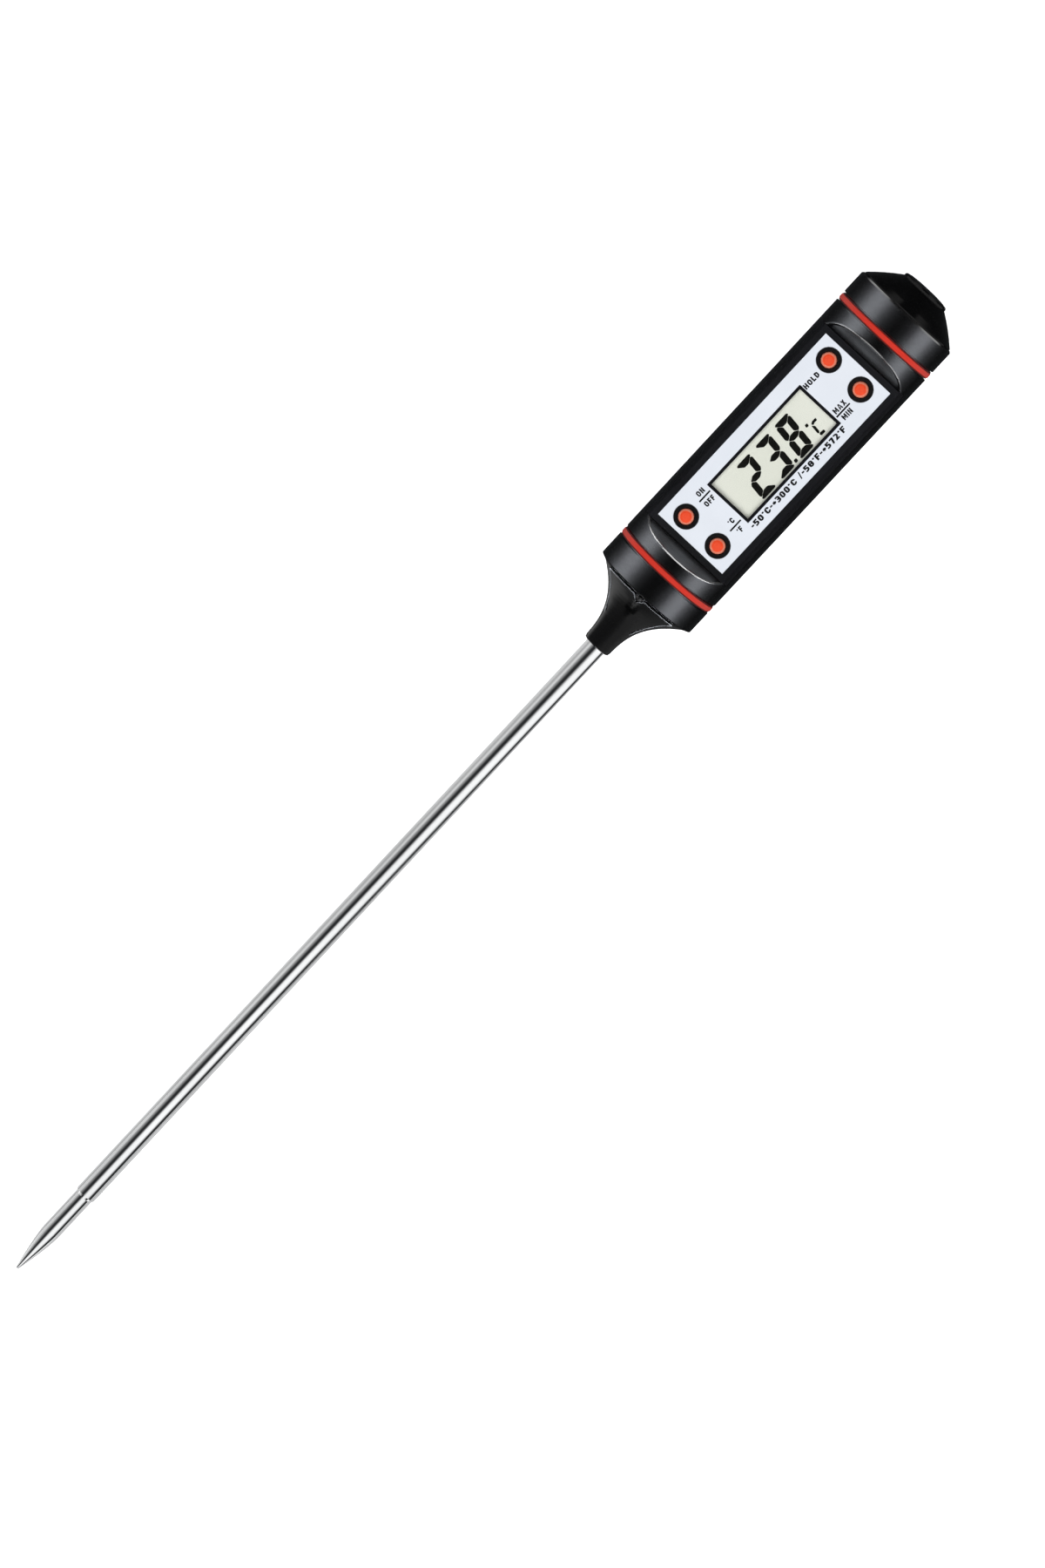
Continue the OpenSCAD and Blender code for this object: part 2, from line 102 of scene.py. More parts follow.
# ------------------------------------------------------------------ node helpers
class Tree:
    """A material's node tree, with short calls for the nodes used here."""

    def __init__(self, name):
        self.mat = bpy.data.materials.new(name)
        self.mat.use_nodes = True
        self.nt = self.mat.node_tree
        self.nt.nodes.clear()
        self.out = self.nt.nodes.new("ShaderNodeOutputMaterial")
        self.coord = None

    def node(self, kind, **props):
        n = self.nt.nodes.new(kind)
        for k, v in props.items():
            setattr(n, k, v)
        return n

    def link(self, a, b):
        self.nt.links.new(a, b)

    def obj(self):
        if self.coord is None:
            self.coord = self.node("ShaderNodeTexCoord")
        return self.coord.outputs["Object"]

    def mapped(self, scale=(1, 1, 1), loc=(0, 0, 0)):
        m = self.node("ShaderNodeMapping")
        m.inputs["Scale"].default_value = scale
        m.inputs["Location"].default_value = loc
        self.link(self.obj(), m.inputs["Vector"])
        return m.outputs["Vector"]

    def noise(self, scale, detail=2.0, rough=0.5, vec=None, distortion=0.0):
        n = self.node("ShaderNodeTexNoise")
        n.inputs["Scale"].default_value = scale
        n.inputs["Detail"].default_value = detail
        n.inputs["Roughness"].default_value = rough
        n.inputs["Distortion"].default_value = distortion
        self.link(vec if vec is not None else self.obj(), n.inputs["Vector"])
        return n.outputs["Fac"]

    def ramp(self, fac, stops, kind="LINEAR"):
        r = self.node("ShaderNodeValToRGB")
        cr = r.color_ramp
        cr.interpolation = kind
        while len(cr.elements) < len(stops):
            cr.elements.new(0.5)
        for e, (p, c) in zip(cr.elements, stops):
            e.position = p
            e.color = (*c, 1.0) if len(c) == 3 else c
        self.link(fac, r.inputs["Fac"])
        return r.outputs["Color"]

    def span(self, fac, lo, hi, a=0.3, b=0.7):
        m = self.node("ShaderNodeMapRange")
        m.inputs["From Min"].default_value = a
        m.inputs["From Max"].default_value = b
        m.inputs["To Min"].default_value = lo
        m.inputs["To Max"].default_value = hi
        self.link(fac, m.inputs["Value"])
        return m.outputs["Result"]

    def math(self, op, a, b=None, c=None):
        m = self.node("ShaderNodeMath", operation=op)
        for i, v in enumerate((a, b, c)):
            if v is None:
                continue
            if isinstance(v, (int, float)):
                m.inputs[i].default_value = v
            else:
                self.link(v, m.inputs[i])
        return m.outputs[0]

    def mix(self, fac, a, b):
        m = self.node("ShaderNodeMix", data_type="RGBA")
        if isinstance(fac, (int, float)):
            m.inputs["Factor"].default_value = fac
        else:
            self.link(fac, m.inputs["Factor"])
        for key, v in (("A", a), ("B", b)):
            sock = [s for s in m.inputs if s.name == key and s.type == "RGBA"][0]
            if isinstance(v, tuple):
                sock.default_value = (*v, 1.0)
            else:
                self.link(v, sock)
        return [s for s in m.outputs if s.type == "RGBA"][0]

    def bump(self, height, strength, distance, normal=None):
        b = self.node("ShaderNodeBump")
        b.inputs["Strength"].default_value = strength
        b.inputs["Distance"].default_value = distance
        self.link(height, b.inputs["Height"])
        if normal is not None:
            self.link(normal, b.inputs["Normal"])
        return b.outputs["Normal"]

    def principled(self, base=None, rough=None, normal=None, **sockets):
        p = self.node("ShaderNodeBsdfPrincipled")
        if base is not None:
            if isinstance(base, tuple):
                p.inputs["Base Color"].default_value = (*base, 1.0)
            else:
                self.link(base, p.inputs["Base Color"])
        if rough is not None:
            if isinstance(rough, (int, float)):
                p.inputs["Roughness"].default_value = rough
            else:
                self.link(rough, p.inputs["Roughness"])
        if normal is not None:
            self.link(normal, p.inputs["Normal"])
        for k, v in sockets.items():
            p.inputs[k.replace("_", " ")].default_value = v
        self.link(p.outputs["BSDF"], self.out.inputs["Surface"])
        return p


def moulded(name, dark, light, rough, grain=900.0, bump=0.15, depth=4e-6, smudge=90.0, **sockets):
    """Moulded plastic, rubber or painted metal: colour drift, fine grain and uneven gloss."""
    t = Tree(name)
    drift = t.noise(smudge, 3.0, 0.55)
    fine = t.noise(grain, 3.0, 0.6)
    both = t.math("ADD", t.math("MULTIPLY", drift, 0.6), t.math("MULTIPLY", fine, 0.4))
    base = t.ramp(both, [(0.36, dark), (0.64, light)])
    ro = t.span(both, rough[0], rough[1], 0.36, 0.64)
    t.principled(base, ro, t.bump(fine, bump, depth), **sockets)
    return t.mat


def metal(name, tint_a, tint_b, rough, stretch=(60.0, 2500.0, 2500.0), bump=0.1, depth=2e-6, metallic=1.0):
    """Drawn or turned metal with fine lines along one axis."""
    t = Tree(name)
    vec = t.mapped(stretch)
    lines = t.noise(1.0, 4.0, 0.6, vec)
    drift = t.noise(70.0, 2.0, 0.5)
    base = t.ramp(lines, [(0.3, tint_a), (0.7, tint_b)])
    ro = t.span(t.math("ADD", t.math("MULTIPLY", lines, 0.7), t.math("MULTIPLY", drift, 0.3)), rough[0], rough[1])
    t.principled(base, ro, t.bump(lines, bump, depth), Metallic=metallic)
    return t.mat


# ------------------------------------------------------------------ materials
def black_gloss_material(name="black_gloss", soft_edges=True, level=0.5, rough=(0.11, 0.14), ior=1.5):
    t = Tree(name)
    drift = t.noise(55.0, 3.0, 0.55)
    fine = t.noise(1500.0, 2.0, 0.5)
    # long faint rub marks from handling
    rub = t.noise(1.0, 3.0, 0.7, t.mapped((120.0, 900.0, 900.0), (0.3, 0.1, 0.2)))
    base = t.ramp(drift, [(0.35, (0.0005, 0.0005, 0.0006)), (0.65, (0.0011, 0.0011, 0.0013))])
    ro = t.math("ADD", t.span(drift, rough[0], rough[1], 0.35, 0.65), t.span(rub, 0.0, 0.025, 0.5, 0.75))
    if soft_edges:
        # moulded corners are never knife-sharp
        soft = t.node("ShaderNodeBevel", samples=4)
        soft.inputs["Radius"].default_value = 0.00015
        n = t.bump(fine, 0.05, 1.5e-6, soft.outputs["Normal"])
    else:
        n = t.bump(fine, 0.05, 1.5e-6)
    t.principled(base, ro, n, IOR=ior, Specular_IOR_Level=level)
    return t.mat


def button_material(centre):
    """Orange key: a deeper coloured crown with a pale ring painted round its edge as a highlight."""
    t = Tree("orange_key_" + centre[0])
    m = t.mapped((1, 1, 1), (-centre[1].x, -centre[1].y, 0))
    sep = t.node("ShaderNodeSeparateXYZ")
    t.link(m, sep.inputs[0])
    x2 = t.math("MULTIPLY", sep.outputs[0], sep.outputs[0])
    y2 = t.math("MULTIPLY", sep.outputs[1], sep.outputs[1])
    r = t.math("SQRT", t.math("ADD", x2, y2))
    wob = t.noise(900.0, 2.0, 0.5)
    r = t.math("ADD", r, t.span(wob, -0.00004, 0.00004))
    # pale ring beyond about 1 mm from the centre: painted highlight of the key's rounded edge
    edge = t.span(r, 0.0, 1.0, 0.00098, 0.00112)
    fine = t.noise(2600.0, 3.0, 0.6)
    core = t.ramp(fine, [(0.3, (0.73, 0.056, 0.016)), (0.7, (0.81, 0.076, 0.022))])
    rim = t.ramp(fine, [(0.3, (0.66, 0.19, 0.12)), (0.7, (0.76, 0.26, 0.17))])
    base = t.mix(edge, core, rim)
    ro = t.span(fine, 0.42, 0.55)
    t.principled(base, ro, t.bump(fine, 0.12, 4e-6), IOR=1.45)
    return t.mat


def window_material():
    """Clear thin window: see-through with a Fresnel gloss."""
    t = Tree("clear_window")
    clear = t.node("ShaderNodeBsdfTransparent")
    clear.inputs["Color"].default_value = (0.985, 0.99, 0.985, 1.0)
    gloss = t.node("ShaderNodeBsdfGlossy")
    gloss.inputs["Color"].default_value = (1, 1, 1, 1)
    smear = t.noise(220.0, 3.0, 0.6)
    t.link(t.span(smear, 0.03, 0.08), gloss.inputs["Roughness"])
    facing = t.node("ShaderNodeLayerWeight")
    facing.inputs["Blend"].default_value = 0.5
    grazing = t.math("POWER", facing.outputs["Facing"], 5.0)
    mix = t.node("ShaderNodeMixShader")
    t.link(t.math("ADD", t.math("MULTIPLY", grazing, 0.9), 0.035), mix.inputs[0])
    t.link(clear.outputs[0], mix.inputs[1])
    t.link(gloss.outputs[0], mix.inputs[2])
    t.link(mix.outputs[0], t.out.inputs["Surface"])
    return t.mat


def steel_material():
    """Polished stainless tube with faint drawing lines and tiny scratches."""
    t = Tree("stainless")
    lines = t.noise(1.0, 4.0, 0.65, t.mapped((45.0, 3200.0, 3200.0)))
    scratch = t.noise(1.0, 2.0, 0.5, t.mapped((420.0, 5200.0, 5200.0), (0.2, 0.4, 0.1)))
    drift = t.noise(45.0, 3.0, 0.55)
    base = t.ramp(drift, [(0.35, (0.70, 0.705, 0.71)), (0.65, (0.78, 0.785, 0.79))])
    ro = t.math("ADD", t.span(lines, 0.04, 0.09), t.span(scratch, 0.0, 0.04, 0.55, 0.75))
    n = t.bump(lines, 0.06, 1.5e-6)
    t.principled(base, ro, n, Metallic=1.0)
    return t.mat


def panel_material():
    """White printed face plate: satin film, faint mottling."""
    t = Tree("panel_white")
    big = t.noise(120.0, 3.0, 0.5)
    fine = t.noise(4200.0, 2.0, 0.5)
    base = t.ramp(big, [(0.35, (0.700, 0.735, 0.795)), (0.65, (0.725, 0.760, 0.820))])
    ro = t.span(fine, 0.40, 0.52)
    t.principled(base, ro, t.bump(fine, 0.08, 2e-6), IOR=1.45)
    return t.mat


def lcd_material():
    """Reflective display glass: pale grey-green with a soft drift of tone."""
    t = Tree("lcd_glass")
    big = t.noise(70.0, 2.0, 0.5)
    fine = t.noise(6000.0, 2.0, 0.6)
    base = t.ramp(t.math("ADD", t.math("MULTIPLY", big, 0.8), t.math("MULTIPLY", fine, 0.2)),
                  [(0.35, (0.765, 0.770, 0.695)), (0.65, (0.800, 0.800, 0.735))])
    t.principled(base, t.span(fine, 0.35, 0.5), t.bump(fine, 0.05, 1e-6), IOR=1.45)
    return t.mat


def print_material():
    t = Tree("black_print")
    fine = t.noise(5200.0, 3.0, 0.6)
    base = t.ramp(fine, [(0.3, (0.003, 0.003, 0.004)), (0.7, (0.008, 0.008, 0.010))])
    t.principled(base, t.span(fine, 0.45, 0.6), t.bump(fine, 0.1, 2e-6), IOR=1.45)
    return t.mat


def segment_material():
    t = Tree("lcd_segment")
    fine = t.noise(5200.0, 2.0, 0.6)
    base = t.ramp(fine, [(0.3, (0.003, 0.003, 0.002)), (0.7, (0.006, 0.006, 0.005))])
    t.principled(base, t.span(fine, 0.4, 0.55), t.bump(fine, 0.05, 1e-6), IOR=1.35)
    return t.mat


MATS = {
    "black_gloss": black_gloss_material(),
    "orange_rubber": moulded("orange_rubber", (0.50, 0.019, 0.007), (0.57, 0.025, 0.010), (0.45, 0.6), 2600.0, 0.2, 5e-6, IOR=1.45),
    "charcoal_matte": moulded("charcoal_matte", (0.0060, 0.0063, 0.0075), (0.0090, 0.0093, 0.0112), (0.38, 0.50), 3800.0, 0.25, 5e-6, IOR=1.45),
    "panel_white": panel_material(),
    "black_collar": moulded("black_collar", (0.004, 0.004, 0.004), (0.008, 0.007, 0.007), (0.30, 0.42), 2600.0, 0.15, 4e-6, IOR=1.45),
    "clear_window": window_material(),
    "lcd_glass": lcd_material(),
    "reflector_film": metal("reflector_film", (0.70, 0.71, 0.69), (0.80, 0.81, 0.79), (0.3, 0.4), (900.0, 900.0, 900.0)),
    "white_plastic": moulded("white_plastic", (0.74, 0.74, 0.73), (0.82, 0.82, 0.81), (0.4, 0.5)),
    "zebra_rubber": moulded("zebra_rubber", (0.10, 0.10, 0.12), (0.22, 0.22, 0.25), (0.6, 0.7), 5000.0),
    "board_green": moulded("board_green", (0.012, 0.075, 0.030), (0.020, 0.110, 0.045), (0.3, 0.42), 2400.0),
    "switch_metal": metal("switch_metal", (0.62, 0.63, 0.65), (0.72, 0.73, 0.75), (0.22, 0.34), (1500.0, 1500.0, 1500.0)),
    "black_epoxy": moulded("black_epoxy", (0.010, 0.010, 0.010), (0.020, 0.020, 0.020), (0.2, 0.35)),
    "component_tan": moulded("component_tan", (0.42, 0.34, 0.22), (0.56, 0.47, 0.32), (0.4, 0.55), 3000.0),
    "screw_steel": metal("screw_steel", (0.56, 0.56, 0.58), (0.68, 0.68, 0.70), (0.22, 0.34), (1800.0, 1800.0, 1800.0)),
    "stainless": steel_material(),
    "collar_brass": metal("collar_brass", (0.66, 0.48, 0.20), (0.76, 0.58, 0.28), (0.22, 0.34), (200.0, 2200.0, 2200.0)),
    "filler_white": moulded("filler_white", (0.62, 0.62, 0.58), (0.74, 0.74, 0.70), (0.55, 0.7)),
    "bead_glass": moulded("bead_glass", (0.06, 0.020, 0.012), (0.12, 0.035, 0.020), (0.12, 0.2)),
    "lead_copper": moulded("lead_copper", (0.42, 0.035, 0.022), (0.55, 0.050, 0.030), (0.35, 0.5)),
    "sleeve_white": moulded("sleeve_white", (0.76, 0.76, 0.74), (0.85, 0.85, 0.83), (0.4, 0.5)),
    "holder_black": moulded("holder_black", (0.012, 0.012, 0.014), (0.022, 0.022, 0.025), (0.4, 0.55)),
    "spring_steel": metal("spring_steel", (0.58, 0.58, 0.60), (0.72, 0.72, 0.74), (0.18, 0.3), (2400.0, 2400.0, 2400.0)),
    "contact_brass": metal("contact_brass", (0.62, 0.50, 0.28), (0.74, 0.62, 0.38), (0.2, 0.32), (1600.0, 1600.0, 1600.0)),
    "cell_metal": metal("cell_metal", (0.66, 0.66, 0.66), (0.78, 0.78, 0.78), (0.16, 0.28), (300.0, 2600.0, 2600.0)),
    "seal_rubber": moulded("seal_rubber", (0.008, 0.008, 0.008), (0.016, 0.016, 0.016), (0.55, 0.7)),
}
SHELL = black_gloss_material("shell_gloss", False, ior=2.0)
SCOOP = black_gloss_material("scoop_satin", False, 0.22, (0.20, 0.26), 2.0)
BEAD = black_gloss_material("petal_edge_gloss", False, 0.5, (0.30, 0.36))
# Dark red on the ring lips: painted shade for the dark lines along both edges of each ring
LIP_SHADE = moulded("ring_lip_painted_shade", (0.055, 0.004, 0.003), (0.080, 0.006, 0.004), (0.5, 0.65), 2600.0, 0.2, 5e-6, IOR=1.45)
PRINT = print_material()
SEGMENT = segment_material()

node_slot = {}
for row in frame["record"].get("materials", []):
    for n in row.get("nodes", []):
        node_slot[n] = row["slot"]
for name, o in nodes.items():
    slot = node_slot.get(name) or o.data.materials[0].name.split(".")[0]
    if slot == "orange_button":
        lo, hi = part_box(name)
        mat = button_material((name, (lo + hi) / 2))
    else:
        mat = MATS[slot]
    for i in range(len(o.material_slots)):
        o.material_slots[i].link = "OBJECT"
        o.material_slots[i].material = mat


# ------------------------------------------------------------------ mesh helpers
def new_piece(name, mesh, mat, body="handle"):
    o = bpy.data.objects.new(name, mesh)
    scene.collection.objects.link(o)
    mesh.materials.append(mat)
    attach(o, body)
    return o


def prism(bm, outline, z0, z1, ease=0.0):
    """Closed solid from a flat outline (anticlockwise), with the top edge eased inwards by a hair."""
    n = len(outline)
    low = [bm.verts.new((x, y, z0)) for x, y in outline]
    if ease > 0:
        mid = [bm.verts.new((x, y, z1 - ease)) for x, y in outline]
        top = [bm.verts.new((x, y, z1)) for x, y in inset(outline, ease)]
        rows = [low, mid, top]
    else:
        rows = [low, [bm.verts.new((x, y, z1)) for x, y in outline]]
    for a, b in zip(rows, rows[1:]):
        for i in range(n):
            j = (i + 1) % n
            bm.faces.new((a[i], a[j], b[j], b[i]))
    ox, oy = outline[0]
    cap = tessellate_polygon([[Vector(((x - ox) * 1000.0, (y - oy) * 1000.0, 0.0)) for x, y in outline]])
    for i, j, k in cap:
        (ax, ay), (bx, by), (cx, cy) = outline[i], outline[j], outline[k]
        turn = (bx - ax) * (cy - ay) - (by - ay) * (cx - ax)
        if abs(turn) < 1e-16:
            continue
        tri = (i, j, k) if turn > 0 else (i, k, j)
        bm.faces.new([rows[-1][q] for q in tri])
        bm.faces.new([rows[0][q] for q in reversed(tri)])


def ring_prism(bm, outer, inner, z0, z1):
    """Closed frame between two outlines of the same number of points."""
    n = len(outer)
    lo_o = [bm.verts.new((x, y, z0)) for x, y in outer]
    lo_i = [bm.verts.new((x, y, z0)) for x, y in inner]
    hi_o = [bm.verts.new((x, y, z1)) for x, y in outer]
    hi_i = [bm.verts.new((x, y, z1)) for x, y in inner]
    for i in range(n):
        j = (i + 1) % n
        bm.faces.new((lo_o[i], lo_o[j], hi_o[j], hi_o[i]))
        bm.faces.new((lo_i[j], lo_i[i], hi_i[i], hi_i[j]))
        bm.faces.new((hi_o[i], hi_o[j], hi_i[j], hi_i[i]))
        bm.faces.new((lo_o[j], lo_o[i], lo_i[i], lo_i[j]))


def area2(pts):
    return sum(a[0] * b[1] - b[0] * a[1] for a, b in zip(pts, pts[1:] + pts[:1]))


def side_points(pts, closed, off):
    """Mitred offset of a path, to the left for a positive offset."""
    n = len(pts)
    made = []
    for i in range(n):
        p = Vector(pts[i])
        prev = Vector(pts[i - 1]) if (i > 0 or closed) else None
        nxt = Vector(pts[(i + 1) % n]) if (i < n - 1 or closed) else None
        d0 = (p - prev).normalized() if prev is not None else None
        d1 = (nxt - p).normalized() if nxt is not None else None
        if d0 is None:
            d0 = d1
        if d1 is None:
            d1 = d0
        n0, n1 = Vector((-d0.y, d0.x)), Vector((-d1.y, d1.x))
        m = (n0 + n1)
        m = m.normalized() if m.length > 1e-9 else n0
        k = 1.0 / max(0.42, m.dot(n0))
        made.append((p.x + m.x * off * k, p.y + m.y * off * k))
    return made


def inset(outline, by):
    return side_points(outline, True, by)


def arc(cx, cy, r, a0, a1, n=4):
    return [(cx + r * math.cos(math.radians(a0 + (a1 - a0) * i / n)),
             cy + r * math.sin(math.radians(a0 + (a1 - a0) * i / n))) for i in range(n + 1)]


# ------------------------------------------------------------------ handle shell
# The same shell as the CAD one, with moulded radii where the scoops meet the round.
NECK_X = BAY_X - 46.55 * MM
R_OUT, SEAT_Z, BAY_Z, FLAT_Z = 10.5, 4.3, 5.7, -10.05
BAY0, BAY1 = 46.55 - 22.7, 46.55 + 22.7
CURVE_T = np.array([0.0, 0.19, 0.34, 0.58, 0.79, 0.93, 1.0, 1.1, 1.3])
CURVE_H = np.array([0.0, 0.13, 0.25, 0.47, 0.72, 0.92, 1.03, 1.25, 1.70])


def scoop_height(t):
    """Height of a scoop above the bay as a share, through the curve's points without corners."""
    slope = np.gradient(CURVE_H, CURVE_T)
    i = int(np.clip(np.searchsorted(CURVE_T, t) - 1, 0, len(CURVE_T) - 2))
    d = CURVE_T[i + 1] - CURVE_T[i]
    u = (min(t, 1.3) - CURVE_T[i]) / d
    return ((2 * u ** 3 - 3 * u ** 2 + 1) * CURVE_H[i] + (u ** 3 - 2 * u ** 2 + u) * d * slope[i]
            + (3 * u ** 2 - 2 * u ** 3) * CURVE_H[i + 1] + (u ** 3 - u ** 2) * d * slope[i + 1])


PHI_S = math.degrees(math.acos(SEAT_Z / R_OUT))
PHI_I = math.degrees(math.acos(SEAT_Z / 9.0))
HALF_K, LOW_M = 60, 61


def shell_rows():
    """Outer stations: (x, radius, scoop share or None, scoop length)."""
    g, w = 9.95, 0.94
    rows = [(12.60, 9.35, None), (13.03, 10.33, None), (13.09, 10.43, None), (13.17, 10.5, None)]
    front, rear = 46.55 - 27.95, 46.55 + 27.95
    rows += [(front - w - 0.05, 10.5, None), (front - w, 10.45, None), (front - w, g, None),
             (front + w, g, None), (front + w, 10.45, None), (front + w + 0.05, 10.5, None)]
    shares = [1.24 - 1.24 * (i / 44) for i in range(45)]
    rows += [(BAY0 - 2.1 * t, 10.5, t) for t in shares]
    rows += [(BAY1 + 2.6 * t, 10.5, t) for t in reversed(shares)]
    rows += [(rear - w - 0.05, 10.5, None), (rear - w, 10.45, None), (rear - w, g, None),
             (rear + w, g, None), (rear + w, 10.45, None), (rear + w + 0.05, 10.5, None),
             (79.85, 10.5, None), (80.15, 10.20, None)]
    return rows


def edge_angles(t):
    """Angles of one half of the upper outline, packed closely where the scoop's edge runs."""
    h = BAY_Z + (R_OUT - BAY_Z) * scoop_height(t if t is not None else 1.24)
    e = math.degrees(math.acos(min(1.0, h / R_OUT)))
    w = 2.2
    a, b = min(e + w, PHI_S - 2.0), max(e - w, 0.0)
    left = np.linspace(PHI_S, a, 22, endpoint=False)
    mid = np.linspace(a, b, 18, endpoint=False)
    inner = np.linspace(b, 0.0, HALF_K - 40, endpoint=False)
    phi = np.concatenate([left, mid, inner])
    floor_phi = 0.14 * (HALF_K - np.arange(HALF_K))
    return np.maximum(phi, floor_phi)


def upper_outline(r, t, length, radius):
    """Points of the outline above the seat, from +Y to -Y."""
    half = edge_angles(t)
    phi = np.radians(np.concatenate([half, [0.0], -half[::-1]]))
    rho = np.full(len(phi), r)
    if t is not None:
        h = BAY_Z + (R_OUT - BAY_Z) * scoop_height(t)
        d = (scoop_height(t + 0.01) - scoop_height(max(0.0, t - 0.01))) / (0.01 + min(0.01, t))
        slope = (R_OUT - BAY_Z) * d / length
        k = 1.0 / math.sqrt(1.0 + slope * slope)
        lo, hi = np.full(len(phi), 3.0), np.full(len(phi), r + 0.001)
        for _ in range(40):
            m = (lo + hi) / 2
            a, b = m - r + radius, (m * np.cos(phi) - h) * k + radius
            f = np.where((a > 0) & (b > 0), np.sqrt(np.maximum(a, 0) ** 2 + np.maximum(b, 0) ** 2), np.maximum(a, b)) - radius
            lo, hi = np.where(f < 0, m, lo), np.where(f < 0, hi, m)
        rho = np.minimum((lo + hi) / 2, r)
    return [(q * math.sin(p), q * math.cos(p)) for q, p in zip(rho, phi)]


def lower_outline(r, start, flat=True):
    """The rest of the outline round the bottom, from -Y to +Y, without its two ends."""
    made = []
    for i in range(1, LOW_M + 1):
        p = math.radians(-start - (360 - 2 * start) * i / (LOW_M + 1))
        y, z = r * math.sin(p), r * math.cos(p)
        made.append((y, max(z, FLAT_Z) if flat else z))
    return made


def build_shell():
    bm = bmesh.new()

    def station(x, up, low):
        return [bm.verts.new((NECK_X + x * MM, y * MM, AXIS_Z + z * MM)) for y, z in up + low]

    outer, inner = [], []
    for x, r, t in shell_rows():
        length = 2.1 if x < 46 else 2.6
        outer.append((x, station(x, upper_outline(r, t, length, 0.32), lower_outline(r, PHI_S))))
    upper_n = 2 * HALF_K + 1
    for x, r in [(12.6, 9.0), (18.9, 9.0), (20.6, 9.0), (21.0, 9.0), (21.6, 9.0), (22.2, 9.0), (BAY0 - 1.5, 9.0), (BAY0, 9.0),
                 (BAY1, 9.0), (BAY1 + 1.5, 9.0), (70.9, 9.0), (71.5, 9.0), (72.1, 9.0), (72.8, 9.0), (75.1, 9.0), (75.4, 8.7),
                 (79.1, 8.7), (79.1, 9.4), (80.15, 9.4)]:
        s = max(0.0, (BAY0 - x if x < 46 else x - BAY1) - 1.5) / (2.1 if x < 46 else 2.6)
        h = SEAT_Z if s <= 0 else min(20.0, BAY_Z - 1.0 + (R_OUT - BAY_Z) * scoop_height(min(1.3, s)))
        if s >= 1.0:
            h = 20.0
        up = []
        for k in range(upper_n):
            p = math.radians(PHI_I - 2 * PHI_I * k / (upper_n - 1))
            q = min(r, h / math.cos(p))
            up.append((q * math.sin(p), q * math.cos(p)))
        inner.append((x, station(x, up, lower_outline(r, PHI_I, False))))
    n = len(outer[0][1])
    lower = [upper_n - 1] + list(range(upper_n, n)) + [0]

    def skin(rows, flip):
        for (xa, a), (xb, b) in zip(rows, rows[1:]):
            open_bay = abs(xa - BAY0) < 1e-6 and abs(xb - BAY1) < 1e-6
            ring_ids = lower if open_bay else list(range(n)) + [0]
            for i, j in zip(ring_ids, ring_ids[1:]):
                q = (a[i], b[i], b[j], a[j])
                bm.faces.new(tuple(reversed(q)) if flip else q)

    skin(outer, False)
    skin(inner, True)
    for i in range(n):
        j = (i + 1) % n
        bm.faces.new((outer[0][1][i], outer[0][1][j], inner[0][1][j], inner[0][1][i]))
        bm.faces.new((outer[-1][1][j], outer[-1][1][i], inner[-1][1][i], inner[-1][1][j]))
    oa, ob = [[v for x, v in outer if abs(x - e) < 1e-6][0] for e in (BAY0, BAY1)]
    ia, ib = [[v for x, v in inner if abs(x - e) < 1e-6][0] for e in (BAY0, BAY1)]
    for k in range(upper_n - 1):
        bm.faces.new((oa[k + 1], oa[k], ia[k], ia[k + 1]))
        bm.faces.new((ob[k], ob[k + 1], ib[k + 1], ib[k]))
    bm.faces.new((oa[0], ob[0], ib[0], ia[0]))
    bm.faces.new((ob[upper_n - 1], oa[upper_n - 1], ia[upper_n - 1], ib[upper_n - 1]))
    bmesh.ops.recalc_face_normals(bm, faces=bm.faces)
    for f in bm.faces:
        c = f.calc_center_median()
        x, y, z = (c.x - NECK_X) / MM, c.y / MM, (c.z - AXIS_Z) / MM
        t = (BAY0 - x) / 2.1 if x < 46 else (x - BAY1) / 2.6
        if 0 <= t <= 1.05 and z > BAY_Z and math.hypot(y, z) < R_OUT - 0.10 and \
                abs(z - BAY_Z - (R_OUT - BAY_Z) * scoop_height(t)) < 0.05:
            f.material_index = 1
    mesh = bpy.data.meshes.new("handle_shell")
    bm.to_mesh(mesh)
    bm.free()
    mesh.polygons.foreach_set("use_smooth", [True] * len(mesh.polygons))
    mesh.set_sharp_from_angle(angle=math.radians(24))
    return mesh


shell_mesh = build_shell()
shell = new_piece("handle_shell", shell_mesh, SHELL, "handle")
shell_mesh.materials.append(SCOOP)
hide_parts("housing")


# Trim rings: a raised band between two sunken lips, the lips coloured dark red as painted shade
def lathe_piece(name, profile, x_mid, mat, node, steps=120):
    bm = bmesh.new()
    rows = []
    for i in range(steps):
        a = 2 * math.pi * i / steps
        rows.append([bm.verts.new((NECK_X + (x_mid + x) * MM, r * MM * math.sin(a),
                                   AXIS_Z + max(r * math.cos(a), FLAT_Z) * MM)) for x, r in profile])
    m = len(profile)
    for i in range(steps):
        a, b = rows[i], rows[(i + 1) % steps]
        for k in range(m):
            q = (k + 1) % m
            f = bm.faces.new((a[k], a[q], b[q], b[k]))
            # lip faces get the second slot: dark red painted shade
            if max(profile[k][1], profile[q][1]) < 10.43:
                f.material_index = 1
    bmesh.ops.recalc_face_normals(bm, faces=bm.faces)
    mesh = bpy.data.meshes.new(name)
    bm.to_mesh(mesh)
    bm.free()
    mesh.polygons.foreach_set("use_smooth", [True] * len(mesh.polygons))
    mesh.set_sharp_from_angle(angle=math.radians(35))
    o = new_piece(name, mesh, mat, "handle")
    mesh.materials.append(LIP_SHADE)
    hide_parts(node)
    return o


